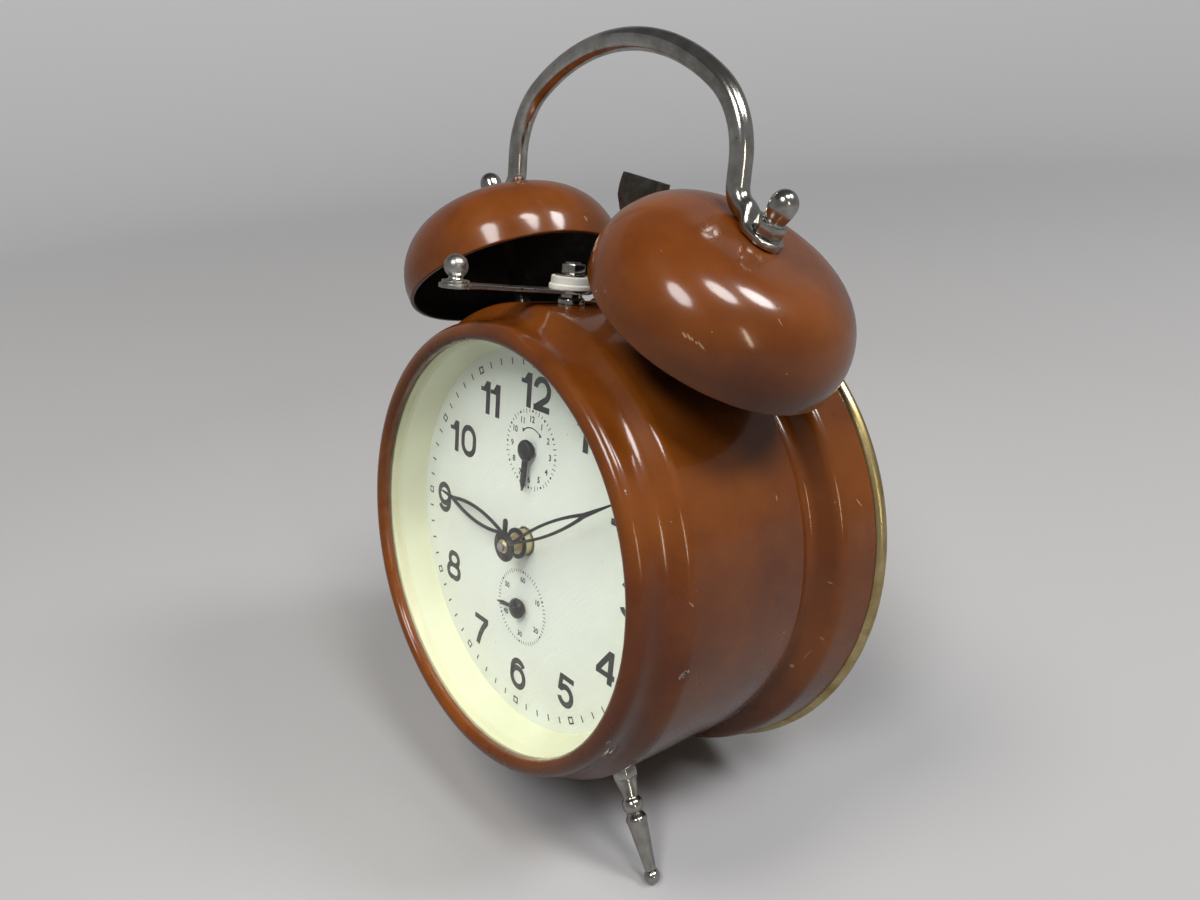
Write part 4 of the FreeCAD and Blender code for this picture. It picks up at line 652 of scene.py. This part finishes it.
post = {
    "start": (0, 53.5),
    "moves": [
        (1.9, 53.5), (1.9, 59.0), (2.8, 59.0), (3.0, 59.2, 0.2), (3.0, 60.4), (2.3, 61.4, 1.4), (2.3, 87.6),
        (3.2, 88.0), (3.2, 89.4), (1.9, 89.4), (1.9, 96.5), (0, 96.5),
    ],
}
acorn = {
    "start": (1.4, 94.9),
    "moves": [(2.5, 94.9), (2.3, 95.7, 9.0), (2.95, 99.1, 9.0), (0, 102.3, 3.1)],
    "flats": 5.8,
    "hexagon": (92.6, 95.3),
    "edge": 0.12,
}
leg = {
    "start": (0, 54.5),
    "moves": [
        (1.9, 54.5), (1.9, 60.5), (2.9, 62.7), (2.9, 63.1), (1.9, 67.2), (2.0, 67.6), (1.85, 71.2, 2.6),
        (2.3, 72.0), (2.5, 73.6, 1.4), (1.37, 85.25), (1.95, 86.65, 1.95), (0, 88.6, 1.95),
    ],
    "flats": 6.0,
    "hexagon": (59.0, 62.7),
}
nuts = []
for side, word in ((-1, "Left"), (1, "Right")):
    key = word.lower()
    finishPiece(turned(post, 48), "bellPost" + word, "case", "bright_nickel", ["bell_post_" + key], onBellLine(side))
    legMesh = joinMeshes(turned(leg, 64), prism(leg["flats"], *leg["hexagon"]))
    finishPiece(legMesh, "leg" + word, "case", "bright_nickel", ["leg_" + key], onLegLine(side))
    nut = joinMeshes(turned(acorn, 64), prism(acorn["flats"], *acorn["hexagon"], acorn["edge"]))
    nuts.append(placed(nut, onBellLine(side)))
finishPiece(joinMeshes(*nuts), "acornNuts", "case", "bright_nickel", ["acorn_nuts"])

# Carrying handle: half of the wire bent from the crown down, its end forged flat, then mirrored

handle = {
    "wire": 2.5,
    "top": 118.6,
    "topRadius": 52.7,
    "sideRadius": 20.0,
    "halfWidth": 38.7,
    "bend": 5.6,
    "seat": 90.6,
    "steps": {"round": 28, "top": 18, "side": 14, "bend": 12},
    # the forged end: where it starts and is flat, half its width and thickness, and how far it reaches past the post
    "forge": {
        "start": -7.2, "flat": -2.4, "halfWidth": 4.2, "halfThick": 1.0, "tip": 4.3,
        "steps": 9, "tipSteps": 8, "tipTurn": 84, "tipFullness": 0.8,
    },
}


def growRing(bm, ring):
    # the next ring of the wire, still in the last one's place
    edges = [item for item in ring if isinstance(item, bmesh.types.BMEdge)]
    grown = bmesh.ops.extrude_edge_only(bm, edges=edges)["geom"]
    return [item for item in grown if not isinstance(item, bmesh.types.BMFace)]


def bendRing(bm, ring, pivot, axis, angle, steps):
    return bmesh.ops.spin(
        bm, geom=ring, cent=pivot, axis=axis, dvec=(0, 0, 0), angle=angle, steps=steps
    )["geom_last"]


def forgedRings(look):
    # distance from the post, half width, half thickness and how square the ring is
    forge = look["forge"]
    rings = []
    for step in range(forge["steps"] + 1):
        share = step / forge["steps"]
        ease = share * share * (3 - 2 * share)
        distance = forge["start"] + (forge["flat"] - forge["start"]) * share
        wide = look["wire"] + (forge["halfWidth"] - look["wire"]) * ease
        rings.append((distance, wide, look["wire"] + (forge["halfThick"] - look["wire"]) * ease, ease))
    for step in range(forge["tipSteps"] + 1):
        angle = math.radians(forge["tipTurn"]) * step / forge["tipSteps"]
        distance = forge["tip"] - forge["halfWidth"] + forge["halfWidth"] * math.sin(angle)
        wide = forge["halfWidth"] * math.cos(angle) ** forge["tipFullness"]
        rings.append((distance, wide, forge["halfThick"], 1.0))
    return rings


def makeHandle(look):
    tilt = math.radians(places["bellTurn"])
    out, along = Vector((math.sin(tilt), math.cos(tilt), 0)), Vector((math.cos(tilt), -math.sin(tilt), 0))
    plane = Vector((0, 0, places["bellAlong"]))
    steps = look["steps"]
    bm = bmesh.new()
    crownTurn = Matrix.Translation(plane + Vector((0, look["top"], 0))) @ Matrix.Rotation(math.radians(90), 4, "Y")
    start = bmesh.ops.create_circle(bm, segments=steps["round"], radius=look["wire"], matrix=crownTurn)["verts"]
    ring = start + list({edge for vert in start for edge in vert.link_edges})
    # the shallow crown, then the tighter shoulder down to the side
    crown = look["top"] - look["topRadius"]
    inset, shorter = look["halfWidth"] - look["sideRadius"], look["topRadius"] - look["sideRadius"]
    swing = math.asin(inset / shorter)
    sideCentre = plane + Vector((inset, crown + shorter * math.cos(swing), 0))
    ring = bendRing(bm, ring, plane + Vector((0, crown, 0)), (0, 0, -1), swing, steps["top"])
    ring = bendRing(bm, ring, sideCentre, (0, 0, -1), math.pi / 2 - swing, steps["side"])
    # straight down, and the bend out to the bell's post
    seat = out * (look["seat"] + look["wire"])
    corner = seat + along * ((look["halfWidth"] - seat.x) / along.x)
    turn = math.pi / 2 - tilt
    bendHeight = corner.y + look["bend"] * math.tan(turn / 2)
    ring = growRing(bm, ring)
    bmesh.ops.translate(bm, verts=ringVerts(ring), vec=(0, bendHeight - sideCentre.y, 0))
    bendPivot = plane + Vector((look["halfWidth"] + look["bend"], bendHeight, 0))
    ring = bendRing(bm, ring, bendPivot, (0, 0, 1), turn, steps["bend"])
    # each further ring is squeezed a little more, and the last ones round off the tip
    foot = Matrix((along, Vector((0, 0, 1)), out)).transposed().to_4x4()
    lastWide, middle = look["wire"], None
    for distance, wide, thick, ease in forgedRings(look):
        ring = growRing(bm, ring)
        verts = ringVerts(ring)
        if middle is None:
            middle = sum((vert.co for vert in verts), Vector()) / len(verts)
        nextMiddle = plane + out * (look["seat"] + thick) + along * distance
        for vert in verts:
            local = foot.inverted() @ (vert.co - middle)
            across = max(min(local.y / lastWide, 1.0), -1.0)
            lift = (1 - across * across) ** (0.5 - 0.3 * ease) if abs(across) < 0.9999 else 0.0
            vert.co = foot @ Vector((0, across * wide, math.copysign(lift * thick, local.z))) + nextMiddle
        lastWide, middle = wide, nextMiddle
    bmesh.ops.contextual_create(bm, geom=[item for item in ring if isinstance(item, bmesh.types.BMEdge)])
    half = bm.verts[:] + bm.edges[:] + bm.faces[:]
    bmesh.ops.mirror(bm, geom=half, matrix=identity, merge_dist=0.001, axis="X")
    bmesh.ops.remove_doubles(bm, verts=bm.verts, dist=0.001)
    bmesh.ops.recalc_face_normals(bm, faces=bm.faces)
    return bm


finishPiece(makeHandle(handle), "carryHandle", "case", "bright_nickel", ["carry_handle"], sharp=40)
print("handle made")

# Window, ring and back cover

crystal = {
    "start": (0, 12.2),
    "moves": [(50.2, 9.7, -505.2), (53.2, 9.7), (53.2, 11.1), (50.2, 11.1), (0, 13.6, 505.2)],
}
finishPiece(turned(crystal, 160, 24), "crystalWindow", "case", "crystal_clear", ["crystal"], sharp=60)
slopedRing = {
    "start": (50.7, 9.6),
    "moves": [(53.0, 9.6), (53.0, 8.8), (51.8, 8.8), (49.3, 0), (48.2, 0), (50.7, 9.6)],
}
finishPiece(turned(slopedRing, 192), "slopedRing", "case", "ring_cream", ["sloped_ring"])

cover = {
    # the lid's skirt inside the drum, and its rolled rim behind the drum's flare
    "start": (0, -58.0),
    "moves": [
        (60.6, -58.0), (62.2, -56.4, 1.6), (62.2, -49.4), (63.1, -49.4), (63.1, -52.8), (65.0, -52.8),
        (66.8, -54.6, -1.8), (65.0, -56.4, -1.8), (63.4, -56.4), (61.0, -58.8, -2.4), (0, -58.8),
    ],
    # the radius left open round each key's and knob's arbor
    "openings": {"time_winder": 3.0, "alarm_winder": 3.0, "centre": 1.6, "alarm_setting": 1.4},
    "cut": (-61, -55),
    "regulatorSlot": {"radius": 9.9, "width": 2.6, "start": 100, "sweep": 70},
}


def arcSlot(centre, radius, width, start, sweep, low, high):
    # a curved block: an upright face spun about the slot's centre
    bm = bmesh.new()
    pivot = Matrix.Translation((centre[0], centre[1], 0)) @ Matrix.Rotation(math.radians(start), 4, "Z")
    upright = Matrix.Translation((radius, 0, (low + high) / 2)) @ Matrix.Rotation(math.radians(90), 4, "X")
    face = pivot @ upright @ Matrix.Diagonal((width, high - low, 1, 1))
    bmesh.ops.create_grid(bm, x_segments=1, y_segments=1, size=0.5, matrix=face)
    bmesh.ops.spin(
        bm, geom=bm.verts[:] + bm.edges[:] + bm.faces[:], cent=(centre[0], centre[1], 0), axis=(0, 0, 1),
        dvec=(0, 0, 0), angle=math.radians(sweep), steps=24,
    )
    bmesh.ops.recalc_face_normals(bm, faces=bm.faces)
    return bm


coverCuts = []
for body, radius in cover["openings"].items():
    spot = jointSpot(body)
    coverCuts.append(placed(tube(radius, *cover["cut"]), Matrix.Translation((spot.x, spot.y, 0))))
coverCuts.append(arcSlot(jointSpot("regulator"), *cover["regulatorSlot"].values(), *cover["cut"]))
finishPiece(cutAway(turned(cover, 224), coverCuts), "backCover", "case", "cover_brass", ["back_cover"])
print("window and cover made")

# Hammer: the ball on its neck, then bush, washer, nut and bearing on the shaft's line

hammerBall = {
    "start": (0, 63.8),
    "moves": [
        (2.9, 63.8), (3.0, 63.9, 0.1), (3.0, 64.4), (2.9, 64.5, 0.1), (2.0, 64.55), (1.5, 65.28, -0.8),
        (2.6, 67.4, 2.6), (0, 70.0, 2.6),
    ],
}
finishPiece(turned(hammerBall, 56, 14), "hammerBall", "hammer", nodeSlot["hammer_ball"], ["hammer_ball"], onBallLine, 50)

shaftRings = {
    "hammerBush": {
        "node": "hammer_bush", "body": "hammer", "start": (1.95, 62.5),
        "moves": [
            (5.3, 62.5), (5.4, 62.65, 0.2), (5.4, 63.4), (5.0, 63.7, 0.4), (4.9, 65.3), (4.7, 65.5, 0.2),
            (1.95, 65.5), (1.95, 62.5),
        ],
    },
    "hammerWasher": {
        "node": "hammer_washer", "body": "hammer", "start": (1.95, 65.5),
        "moves": [(4.0, 65.5), (4.1, 65.6, 0.1), (4.1, 65.9), (4.0, 66.0, 0.1), (1.95, 66.0), (1.95, 65.5)],
    },
    "hammerBearing": {
        "node": "hammer_bearing", "body": "case", "start": (1.95, 52.3),
        "moves": [
            (4.4, 52.3), (4.4, 57.3), (2.9, 57.3), (2.9, 59.0), (3.3, 59.0), (3.4, 59.1, 0.1), (3.4, 60.0),
            (3.0, 60.5, 0.6), (2.7, 60.6), (2.6, 61.6), (1.95, 61.6), (1.95, 52.3),
        ],
    },
}
for name, look in shaftRings.items():
    finishPiece(turned(look, 64), name, look["body"], nodeSlot[look["node"]], [look["node"]], onHammerLine)
hammerNut = {"flats": 5.6, "low": 66.0, "high": 68.4, "edge": 0.3, "bore": 1.9}
nutBlock = prism(hammerNut["flats"], hammerNut["low"], hammerNut["high"], hammerNut["edge"])
nutMesh = cutAway(nutBlock, [tube(hammerNut["bore"], hammerNut["low"] - 1, 70)])
finishPiece(nutMesh, "hammerNut", "hammer", nodeSlot["hammer_nut"], ["hammer_nut"], onHammerLine)
# the arm's strip falls a little from the ball to its hub
dressNode("hammerArm", "hammer_arm", "hammer", 0.12, {"depth": 1.3, "from": 20, "to": -2})

# Stop lever, hands, keys and knobs: the frame's own outlines with broken edges

dressed = [
    ("stopLever", "stop_lever", "stop", 0.12),
    ("hourHand", "hour_hand", "hour", 0.06),
    ("minuteHand", "minute_hand", "centre", 0.06),
    ("alarmHand", "alarm_hand", "alarm_setting", 0.06),
    ("secondsHand", "seconds_hand", "seconds", 0.06),
    ("timeKey", "time_key", "time_winder", 0.2),
    ("alarmKey", "alarm_key", "alarm_winder", 0.2),
    ("handSetKnob", "hand_set_knob", "centre", 0.12),
    ("alarmSetKnob", "alarm_set_knob", "alarm_setting", 0.12),
    ("regulatorLever", "regulator_lever", "regulator", 0.08),
]
for row in dressed:
    dressNode(*row)

# Domed caps on the two small hands, and the brass bush and the short tail of the minute hand

smallCap = {"start": (0, 1.7), "moves": [(2.6, 1.7), (2.65, 1.75, 0.1), (2.3, 2.3, 1.2), (0, 2.95, 4.4)]}
for name, body in (("alarmHandCap", "alarm_setting"), ("secondsHandCap", "seconds")):
    capPlace = Matrix.Translation((0, jointSpot(body).y, 0))
    finishPiece(turned(smallCap, 48), name, body, "hand_black", (), capPlace)
minuteBush = {
    "start": (0.75, 6.5),
    "moves": [(1.75, 6.5), (1.75, 6.75), (1.55, 6.95, 0.2), (1.0, 6.95), (0.75, 6.75, 0.3), (0.75, 6.5)],
}
finishPiece(turned(minuteBush, 40), "minuteHandBush", "centre", "clock_brass")
minuteTail = {"width": 1.5, "thick": 0.46, "low": 3.4, "tip": 6.4, "middle": 6.35}
roundEnd = prism(minuteTail["width"], 6.12, 6.58, 0.06, 24)
tailMesh = joinMeshes(
    placed(roundEnd, Matrix.Translation((0, minuteTail["tip"], 0))),
    blockAt(minuteTail["width"], minuteTail["thick"], minuteTail["low"], minuteTail["tip"], minuteTail["middle"]),
)
finishPiece(tailMesh, "minuteHandTail", "centre", "hand_black")
print("small pieces dressed")


# Dial print: flat ink just above the paint, in the dial's plane

inkHeight = 0.03


def dialSpot(x, y, turn=0.0):
    return Matrix.Translation((x, y, inkHeight)) @ Matrix.Rotation(math.radians(turn), 4, "Z")


def onRing(radius, degrees, centre=(0.0, 0.0)):
    # a place on a ring of the dial, degrees clockwise from 12 o'clock, turned to point outwards
    angle = math.radians(degrees)
    return dialSpot(centre[0] + radius * math.sin(angle), centre[1] + radius * math.cos(angle), -degrees)


def addBar(bm, place, width, length):
    shape = place @ Matrix.Diagonal((width, length, 1, 1))
    bmesh.ops.create_grid(bm, x_segments=1, y_segments=1, size=0.5, matrix=shape)


def addOpenSquare(bm, place, width, line):
    for x, y, across, along in ((0, 1, width, line), (0, -1, width, line), (1, 0, line, width), (-1, 0, line, width)):
        side = Matrix.Translation((x * (width - line) / 2, y * (width - line) / 2, 0))
        addBar(bm, place @ side, across, along)


def addDot(bm, place, radius):
    bmesh.ops.create_circle(bm, cap_ends=True, segments=14, radius=radius, matrix=place)


def spinEdge(bm, ends, pivot, axis, degrees, steps):
    # a curved line: a short edge spun about the middle of its arc
    verts = [bm.verts.new(end) for end in ends]
    bmesh.ops.spin(
        bm, geom=verts + [bm.edges.new(verts)], cent=pivot, axis=axis, dvec=(0, 0, 0),
        angle=math.radians(degrees), steps=steps,
    )


def addWord(bm, word, place, size, weight):
    # the built-in letters, made bolder by their outline
    curve = bpy.data.curves.new("numeral", "FONT")
    curve.body = word
    curve.size = size
    curve.offset = weight
    curve.resolution_u = 6
    curve.fill_mode = "BOTH"
    letter = bpy.data.objects.new("numeral", curve)
    mesh = bpy.data.meshes.new_from_object(letter)
    width = [vert.co.x for vert in mesh.vertices]
    height = [vert.co.y for vert in mesh.vertices]
    middle = Matrix.Translation((-(min(width) + max(width)) / 2, -(min(height) + max(height)) / 2, 0))
    mesh.transform(place @ middle)
    bm.from_mesh(mesh)
    bpy.data.objects.remove(letter)
    bpy.data.curves.remove(curve)
    bpy.data.meshes.remove(mesh)


def addStroke(bm, place, stroke):
    # a bar from one end to the other, or an arc: centre, radius, start and sweep in degrees; the width comes last
    if stroke[0] == "bar":
        start, end = Vector(stroke[1]), Vector(stroke[2])
        turn = Matrix.Rotation((end - start).to_3d().to_track_quat("Y", "Z").to_euler().z, 4, "Z")
        addBar(bm, place @ Matrix.Translation(((start + end) / 2).to_3d()) @ turn, stroke[3], (end - start).length)
        return
    (x, y), radius, first, sweep, line = stroke[1:]
    middle = place @ Matrix.Translation((x, y, 0))
    across = middle @ Matrix.Rotation(math.radians(first), 4, "Z")
    ends = [across @ Vector((radius + half, 0, 0)) for half in (-line / 2, line / 2)]
    spinEdge(bm, ends, middle.translation, (0, 0, 1), sweep, max(abs(sweep) // 10, 3))


numeralStrokes = {
    "0": [
        ("arc", (0, 0.85), 2.75, 0, 180, 1.6), ("arc", (0, -0.85), 2.75, 180, 180, 1.6),
        ("bar", (-2.75, -0.9), (-2.75, 0.9), 1.6), ("bar", (2.75, -0.9), (2.75, 0.9), 1.6),
    ],
    "1": [
        ("bar", (0, -4.25), (0, 4.25), 1.85), ("bar", (-3.3, 2.0), (0, 2.0), 1.1),
        ("bar", (-1.7, 2.2), (-0.45, 3.95), 1.0),
    ],
    "2": [
        ("arc", (0, 0.95), 2.6, 172, -229, 1.6), ("bar", (1.5, -1.15), (-2.3, -3.55), 1.6),
        ("bar", (-3.05, -3.5), (3.15, -3.5), 1.5),
    ],
    "3": [
        ("arc", (-0.8, 1.8), 1.75, 160, -70, 1.5), ("bar", (-0.85, 3.55), (0.85, 3.55), 1.5),
        ("arc", (0.8, 1.8), 1.75, 90, -180, 1.5), ("bar", (-0.7, 0.03), (0.85, 0.03), 1.4),
        ("arc", (0.8, -1.78), 1.78, 90, -180, 1.6), ("bar", (-0.85, -3.56), (0.85, -3.56), 1.5),
        ("arc", (-0.8, -1.78), 1.78, 270, -70, 1.5),
    ],
    "4": [
        ("bar", (1.55, -4.25), (1.55, 4.25), 1.75), ("bar", (-3.35, -1.95), (3.2, -1.95), 1.4),
        ("bar", (-2.8, -1.7), (1.3, 3.85), 1.45),
    ],
    "5": [
        ("bar", (-2.2, 3.55), (2.75, 3.55), 1.4), ("bar", (-1.85, 4.1), (-2.35, -0.4), 1.45),
        ("arc", (-0.05, -1.2), 2.35, 150, -310, 1.6),
    ],
    "6": [
        ("arc", (0, -1.05), 2.6, 0, 360, 1.6), ("arc", (0, 0.95), 2.6, 180, -145, 1.6),
        ("bar", (-2.6, -1.1), (-2.6, 1.0), 1.6),
    ],
    "7": [("bar", (-3.1, 3.5), (3.2, 3.5), 1.5), ("arc", (15.9, -8.1), 17.5, 139, 29, 1.7)],
    "8": [
        ("arc", (0.95, -1.79), 1.84, 270, 180, 1.6), ("arc", (-0.95, -1.79), 1.84, 90, 180, 1.6),
        ("bar", (-1, -3.63), (1, -3.63), 1.5), ("bar", (-1, 0.05), (1, 0.05), 1.4),
        ("arc", (0.4, 1.82), 1.78, 270, 180, 1.55), ("arc", (-0.4, 1.82), 1.78, 90, 180, 1.55),
        ("bar", (-0.45, 3.6), (0.45, 3.6), 1.5),
    ],
}

dialPrint = {
    "trackRadius": 45.0,
    "barWidth": 0.46,
    "barLength": 1.7,
    "squareWidth": 1.9,
    "squareLine": 0.42,
    # each numeral with its place and turn
    "numerals": [
        ("1", -1.9, 38.15, 0), ("2", 3.1, 38.2, 0), ("1", 20.0, 32.65, 0), ("2", 33.5, 19.2, 0),
        ("3", 38.9, -0.2, 0), ("4", 33.05, -19.0, 0), ("5", 19.75, -32.45, 0), ("6", 0.35, -37.1, 0),
        ("7", -17.4, -32.4, 0), ("8", -32.1, -18.85, 0), ("6", -38.2, -0.35, 180), ("1", -32.9, 18.85, 0),
        ("0", -27.15, 18.9, 0), ("1", -19.0, 32.5, 0), ("1", -14.65, 32.5, 0),
    ],
}


def finishPrint(bm, name):
    finishPiece(bm, name, "case", "hand_black", finishes=[dialInk])


track = bmesh.new()
for minute in range(60):
    place = onRing(dialPrint["trackRadius"], minute * 6)
    if minute % 5:
        addBar(track, place, dialPrint["barWidth"], dialPrint["barLength"])
    else:
        addOpenSquare(track, place, dialPrint["squareWidth"], dialPrint["squareLine"])
finishPrint(track, "dialMinuteTrack")

numerals = bmesh.new()
for numeral, x, y, turn in dialPrint["numerals"]:
    for stroke in numeralStrokes[numeral]:
        addStroke(numerals, dialSpot(x, y, turn), stroke)
bmesh.ops.recalc_face_normals(numerals, faces=numerals.faces)
for face in numerals.faces:
    if face.normal.z < 0:
        face.normal_flip()
finishPrint(numerals, "dialNumerals")

smallDials = {
    "dialAlarmRing": {
        "centre": (0.0, jointSpot("alarm_setting").y), "ticks": 48, "labelEvery": 4, "longEvery": 2, "countBy": 4, "top": 12,
        "radius": 9.6, "dot": 0.34, "tickWidth": 0.22, "longTick": 1.3, "shortTick": 0.8,
        "numeralRadius": 7.6, "size": 2.15, "weight": 0.06,
        "arrow": {"radius": 5.4, "line": 0.3, "reach": 38, "head": 0.7, "headTurn": 22, "steps": 16},
    },
    "dialSecondsRing": {
        "centre": (0.0, jointSpot("seconds").y), "ticks": 60, "labelEvery": 10, "longEvery": 5, "countBy": 1, "top": 60,
        "radius": 9.6, "dot": 0.34, "tickWidth": 0.22, "longTick": 1.2, "shortTick": 0.85,
        "numeralRadius": 7.5, "size": 2.0, "weight": 0.05,
    },
}


def smallRing(look):
    # ticks round a small dial, with a dot and a numeral in place of some of them
    bm = bmesh.new()
    for step in range(look["ticks"]):
        degrees = step * 360 / look["ticks"]
        place = onRing(look["radius"], degrees, look["centre"])
        if step % look["labelEvery"] == 0:
            spot = onRing(look["numeralRadius"], degrees, look["centre"]).translation
            label = str(step // look["countBy"] or look["top"])
            addDot(bm, place, look["dot"])
            addWord(bm, label, dialSpot(spot.x, spot.y), look["size"], look["weight"])
        else:
            length = look["longTick"] if step % look["longEvery"] == 0 else look["shortTick"]
            addBar(bm, place, look["tickWidth"], length)
    return bm


def addArrow(bm, centre, look):
    # an arc with a head at each end
    ends = []
    for half in (-look["line"] / 2, look["line"] / 2):
        ends.append(onRing(look["radius"] + half, -look["reach"], centre).translation)
    spinEdge(bm, ends, dialSpot(*centre).translation, (0, 0, -1), 2 * look["reach"], look["steps"])
    for degrees, turn in ((-look["reach"], 180 - look["headTurn"]), (look["reach"], look["headTurn"])):
        tip = onRing(look["radius"], degrees, centre).translation
        head = dialSpot(tip.x, tip.y, turn)
        bmesh.ops.create_circle(bm, cap_ends=True, segments=3, radius=look["head"], matrix=head)


for name, look in smallDials.items():
    ring = smallRing(look)
    if "arrow" in look:
        addArrow(ring, look["centre"], look["arrow"])
    finishPrint(ring, name)
print("dial printed")


# Studio: a pale floor that curves up into a wall all round, soft lamps and the camera. One unit is 1 m.

studio = {
    "floorColour": (186, 186, 189),
    "floorShade": (182, 182, 185),
    "bounceColour": (88, 88, 91),
    "mirrored": 0.45,
    "floorReach": 2.2,
    "wallLean": 0.6,
    "wallHeight": 2.4,
    "wallBend": 0.9,
    "wallGlow": 0.34,
    "glowReach": (0.4, 2.2),
    "worldStrength": 0.08,
}

floorBm = bmesh.new()
wallFoot, wallTop = studio["floorReach"], studio["floorReach"] + studio["wallLean"]
profile = [floorBm.verts.new(spot) for spot in ((0, 0, 0), (wallFoot, 0, 0), (wallTop, 0, studio["wallHeight"]))]
for pair in zip(profile, profile[1:]):
    floorBm.edges.new(pair)
bmesh.ops.bevel(
    floorBm, geom=[profile[1]], offset=studio["wallBend"], segments=12, profile=0.5, affect="VERTICES", material=-1
)
bmesh.ops.spin(
    floorBm, geom=floorBm.verts[:] + floorBm.edges[:], cent=(0, 0, 0), axis=(0, 0, 1), dvec=(0, 0, 0),
    angle=math.tau, steps=64, use_merge=True,
)
bmesh.ops.remove_doubles(floorBm, verts=floorBm.verts, dist=1e-6)
bmesh.ops.recalc_face_normals(floorBm, faces=floorBm.faces)
floorMesh = bpy.data.meshes.new("studioFloor")
floorBm.to_mesh(floorMesh)
floorBm.free()
for face in floorMesh.polygons:
    face.use_smooth = True
floorMaterial, floorTree, floorShader = newMaterial("studioPaper", Roughness=0.85, Emission_Color=(1.0, 1.0, 1.02, 1))
floorCoords = addNode(floorTree, "TexCoord").outputs["Object"]
floorTone = addNode(floorTree, "TexNoise", {"Vector": floorCoords, "Scale": 3.0}).outputs["Fac"]
# what the eye sees of the paper is paler than what it throws back on the clock
rays = addNode(floorTree, "LightPath").outputs
seen = maths(floorTree, "MAXIMUM", rays["Is Camera Ray"], rays["Is Transmission Ray"])
seen = maths(floorTree, "MAXIMUM", seen, maths(floorTree, "MULTIPLY", rays["Is Glossy Ray"], studio["mirrored"]))
paper = mixColour(floorTree, floorTone, paint(*studio["floorColour"]), paint(*studio["floorShade"]))
paper = mixColour(floorTree, seen, paint(*studio["bounceColour"]), paper)
floorTree.links.new(paper, floorShader.inputs["Base Color"])
away = addNode(floorTree, "VectorMath", {0: floorCoords}, operation="LENGTH").outputs["Value"]
glow = rampTo(floorTree, away, *studio["glowReach"], 0.0, studio["wallGlow"])
floorTree.links.new(maths(floorTree, "MULTIPLY", glow, seen), floorShader.inputs["Emission Strength"])
floorMesh.materials.append(floorMaterial)
studioFloor = bpy.data.objects.new("studioFloor", floorMesh)
bpy.context.scene.collection.objects.link(studioFloor)

world = bpy.data.worlds.new("studioWorld")
world.use_nodes = True
world.node_tree.nodes["Background"].inputs["Color"].default_value = (1, 1, 1, 1)
world.node_tree.nodes["Background"].inputs["Strength"].default_value = studio["worldStrength"]
bpy.context.scene.world = world

# Long soft panels: where each starts and ends, as azimuth from the front towards 3 o'clock and elevation, then
# distance, width, power, colour, and whether glossy pieces mirror it
lamps = {
    "ceiling": ((-17, 56), (-17, 80), 1.5, 0.45, 8.6, (1.0, 0.94, 0.8), False),
    "frontPanel": ((12, 57), (36, 39), 1.4, 0.34, 6.8, (1.0, 1.0, 1.0), True),
    "sidePanel": ((85, 67), (95, 47), 1.4, 0.32, 7.0, (1.0, 0.99, 0.97), True),
    "rearPanel": ((128, 55), (128, 37), 1.4, 0.32, 7.0, (1.0, 1.0, 1.0), True),
    "lowRight": ((78, 4), (78, 24), 1.3, 0.06, 1.2, (1.0, 0.88, 0.68), True),
    "softLeft": ((-80, 35), (-40, 35), 1.5, 0.9, 1.4, (1.0, 1.0, 1.0), False),
}
lampAim = Vector((0, 0, 0.12))


def towards(turn, rise):
    turn, rise = math.radians(turn), math.radians(rise)
    return Vector((math.sin(turn) * math.cos(rise), -math.cos(turn) * math.cos(rise), math.sin(rise)))


for name, (start, end, distance, width, power, colour, mirrored) in lamps.items():
    light = bpy.data.lights.new(name, "AREA")
    light.shape = "ELLIPSE"
    light.energy, light.color = power, colour
    start, end = towards(*start), towards(*end)
    light.size, light.size_y = width, (end - start).length * distance
    away, along = (start + end).normalized(), (end - start).normalized()
    holder = bpy.data.objects.new(name, light)
    holder.visible_glossy = mirrored
    lampTurn = Matrix((along.cross(away), along, away)).transposed()
    holder.matrix_world = Matrix.Translation(lampAim + away * distance) @ lampTurn.to_4x4()
    bpy.context.scene.collection.objects.link(holder)

# The camera of the photo

camera = bpy.data.cameras.new("photoCamera")
camera.lens = view["lens"]
camera.sensor_width = view["sensor"]
camera.clip_start = 0.01
cameraHolder = bpy.data.objects.new("photoCamera", camera)
cameraTurn = clockTurn @ Matrix((pictureRight, pictureUp, back)).transposed()
cameraHolder.matrix_world = Matrix.Translation(clock @ Vector(view["spot"])) @ cameraTurn.to_4x4()
bpy.context.scene.collection.objects.link(cameraHolder)
bpy.context.scene.camera = cameraHolder
bpy.context.scene.view_settings.view_transform = "Standard"
print("studio and camera set")
